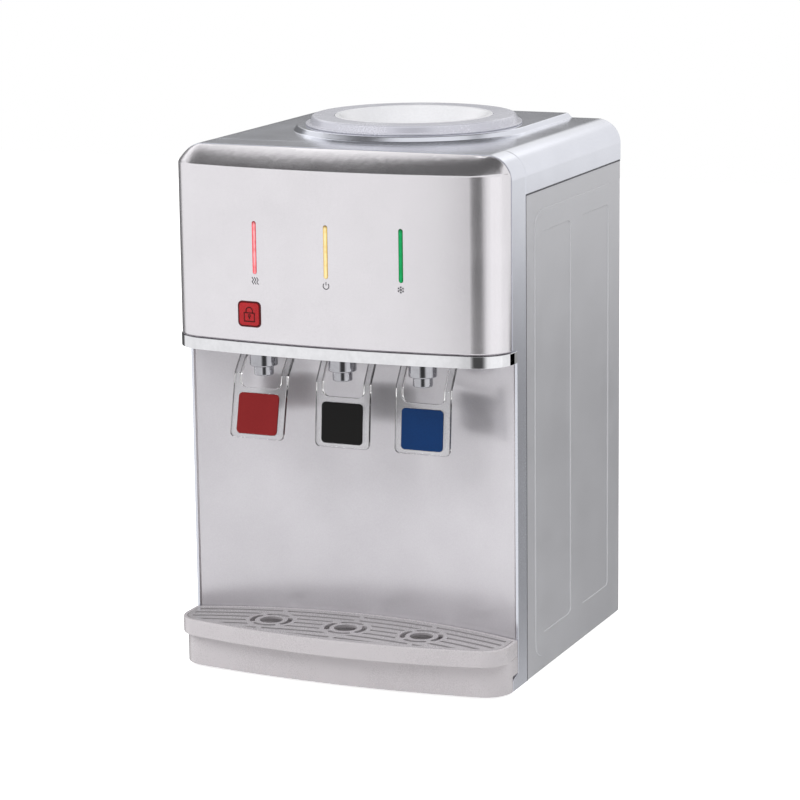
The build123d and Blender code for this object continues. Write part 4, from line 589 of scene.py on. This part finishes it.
# white paper floor: the eye sees it white, also through the clear levers, and it keeps the shadow
floorLook = {"size": 6.0, "glow": 0.86, "colour": "#F2F2F2"}
floorMesh = bpy.data.meshes.new("floor")
reach = floorLook["size"] / 2
floorMesh.from_pydata([(-reach, -reach, 0), (reach, -reach, 0), (reach, reach, 0), (-reach, reach, 0)], [],
                      [(0, 1, 2, 3)])
floor = bpy.data.objects.new("floor", floorMesh)
scene.collection.objects.link(floor)
paper, tree = newTree("white paper sweep")
path = addNode(tree, "ShaderNodeLightPath").outputs
seen = addNode(tree, "ShaderNodeMath", {0: path["Is Camera Ray"], 1: path["Is Transmission Ray"]}, operation="MAXIMUM")
level = addNode(tree, "ShaderNodeMath", {0: seen.outputs[0], 1: floorLook["glow"]}, operation="MULTIPLY")
glow = addNode(tree, "ShaderNodeEmission", {"Color": (1, 1, 1, 1), "Strength": level.outputs[0]})
matte = addNode(tree, "ShaderNodeBsdfDiffuse", {"Color": toLinear(floorLook["colour"])})
layers = addNode(tree, "ShaderNodeAddShader", {0: glow.outputs[0], 1: matte.outputs[0]})
addNode(tree, "ShaderNodeOutputMaterial", {"Surface": layers.outputs[0]})
floorMesh.materials.append(paper)
floor.visible_glossy = False

# the world is white to the eye and in reflections, and dimmer as a light
worldLook = {"ambient": 0.55}
world = bpy.data.worlds.new("white studio")
scene.world = world
world.use_nodes = True
tree = world.node_tree
tree.nodes.clear()
path = addNode(tree, "ShaderNodeLightPath").outputs
seen = addNode(tree, "ShaderNodeMath", {0: path["Is Camera Ray"], 1: path["Is Glossy Ray"]}, operation="MAXIMUM")
shown = addNode(tree, "ShaderNodeMath", {0: seen.outputs[0], 1: path["Is Transmission Ray"]}, operation="MAXIMUM")
level = addNode(tree, "ShaderNodeMapRange", {"Value": shown.outputs[0], "To Min": worldLook["ambient"],
                                             "To Max": 1.0})
sky = addNode(tree, "ShaderNodeBackground", {"Color": (1, 1, 1, 1), "Strength": level.outputs[0]})
addNode(tree, "ShaderNodeOutputWorld", {"Surface": sky.outputs[0]})


# bearing runs from the front (-Y) towards the right (+X)
def wayTo(look):
    bearing, lift = math.radians(look["bearing"]), math.radians(look["lift"])
    return Vector((math.sin(bearing) * math.cos(lift), -math.cos(bearing) * math.cos(lift), math.sin(lift)))


# grey cards stand round the object; its glossy and clear finishes show them
def placeCard(look):
    wide, tall = look["size"]
    mesh = bpy.data.meshes.new(look["name"])
    mesh.from_pydata([(-1, 0, -1), (1, 0, -1), (1, 0, 1), (-1, 0, 1)], [], [(0, 1, 2, 3)])
    card = bpy.data.objects.new(look["name"], mesh)
    scene.collection.objects.link(card)
    turn = Matrix.Rotation(math.radians(look["bearing"]), 4, "Z")
    turn = turn @ Matrix.Rotation(-math.radians(look["lift"]), 4, "X")
    stand = Matrix.Translation(Vector(look["about"]) + wayTo(look) * look["reach"])
    card.matrix_world = stand @ turn @ Matrix.Diagonal((wide / 2, 1, tall / 2, 1))
    material, tree = newTree(look["name"])
    place = addNode(tree, "ShaderNodeTexCoord").outputs["Object"]
    axes = addNode(tree, "ShaderNodeSeparateXYZ", {"Vector": place})
    edges = []
    for axis, soft in zip("XZ", look["soft"]):
        off = addNode(tree, "ShaderNodeMath", {0: axes.outputs[axis]}, operation="ABSOLUTE")
        fade = {"Value": off.outputs[0], "From Min": 1 - soft, "From Max": 1.0, "To Min": 1.0, "To Max": 0.0}
        edges.append(addNode(tree, "ShaderNodeMapRange", fade, interpolation_type="SMOOTHSTEP"))
    cover = addNode(tree, "ShaderNodeMath", {0: edges[0].outputs[0], 1: edges[1].outputs[0]}, operation="MULTIPLY")
    grey = addNode(tree, "ShaderNodeEmission", {"Color": (1, 1, 1, 1), "Strength": look["level"]})
    clear = addNode(tree, "ShaderNodeBsdfTransparent")
    mix = addNode(tree, "ShaderNodeMixShader", {0: cover.outputs[0], 1: clear.outputs[0], 2: grey.outputs[0]})
    addNode(tree, "ShaderNodeOutputMaterial", {"Surface": mix.outputs[0]})
    mesh.materials.append(material)
    card.visible_camera = card.visible_diffuse = card.visible_shadow = False


cards = [
    {"name": "camera side card", "about": (0.14, -0.14, 0.60), "bearing": 18, "lift": 0, "reach": 0.9,
     "size": (1.1, 1.24), "soft": (0.7, 0.1), "level": 0.08},
    {"name": "right back card", "about": (0.15, 0.03, -0.10), "bearing": 156, "lift": 0, "reach": 1.0,
     "size": (1.0, 1.0), "soft": (0.5, 0.8), "level": 0.3},
    {"name": "trim end card", "about": (0.15, -0.12, 0.06), "bearing": 141, "lift": 0, "reach": 1.0,
     "size": (0.5, 0.22), "soft": (0.2, 0.3), "level": 0.0},
    {"name": "left back card", "about": (-0.15, -0.10, 0.25), "bearing": -128, "lift": 0, "reach": 1.2,
     "size": (1.2, 1.6), "soft": (0.5, 0.3), "level": 0.1},
    {"name": "right bright card", "about": (0.14, -0.14, 0.25), "bearing": 76, "lift": 0, "reach": 1.2,
     "size": (1.3, 1.4), "soft": (0.5, 0.4), "level": 1.15},
    {"name": "back wall card", "about": middle, "bearing": 203, "lift": 7, "reach": 2.2,
     "size": (2.6, 1.1), "soft": (0.5, 0.5), "level": 0.2},
    {"name": "ceiling card", "about": middle, "bearing": 216, "lift": 79, "reach": 2.0,
     "size": (4.0, 2.5), "soft": (0.3, 0.4), "level": 0.0},
    {"name": "bevel bright card", "about": middle, "bearing": 209, "lift": 36, "reach": 1.9,
     "size": (3.0, 0.5), "soft": (0.3, 0.6), "level": 1.4},
]
for look in cards:
    placeCard(look)

lamps = [
    {"name": "key softbox", "bearing": -35, "lift": 40, "reach": 2.2, "size": 1.4, "watts": 26},
    {"name": "right softbox", "bearing": 82, "lift": 48, "reach": 1.4, "size": 0.9, "watts": 6.5},
]
for look in lamps:
    lamp = bpy.data.lights.new(look["name"], "AREA")
    lamp.shape = "DISK"
    lamp.size = look["size"]
    lamp.energy = look["watts"]
    box = bpy.data.objects.new(look["name"], lamp)
    scene.collection.objects.link(box)
    box.location = middle + wayTo(look) * look["reach"]
    box.rotation_euler = (-wayTo(look)).to_track_quat("-Z", "Y").to_euler()
    box.visible_glossy = False

view = {"place": (1.06403, -2.45919, 0.79263), "bearing": 23.410, "lift": 11.959, "rollDeg": -0.688, "lensMm": 136.5}
lens = bpy.data.cameras.new("photo view")
lens.lens = view["lensMm"]
lens.sensor_width = 36.0
camera = bpy.data.objects.new("photo view", lens)
scene.collection.objects.link(camera)
back = wayTo(view)
right = Vector((-back.y, back.x, 0)).normalized()
up = back.cross(right)
roll = math.radians(view["rollDeg"])
axes = (math.cos(roll) * right + math.sin(roll) * up, math.cos(roll) * up - math.sin(roll) * right, back)
camera.matrix_world = Matrix.Translation(Vector(view["place"])) @ Matrix(axes).transposed().to_4x4()
scene.camera = camera
scene.view_settings.view_transform = "Standard"
print("studio: floor, world,", len(cards), "cards,", len(lamps), "softboxes, camera")
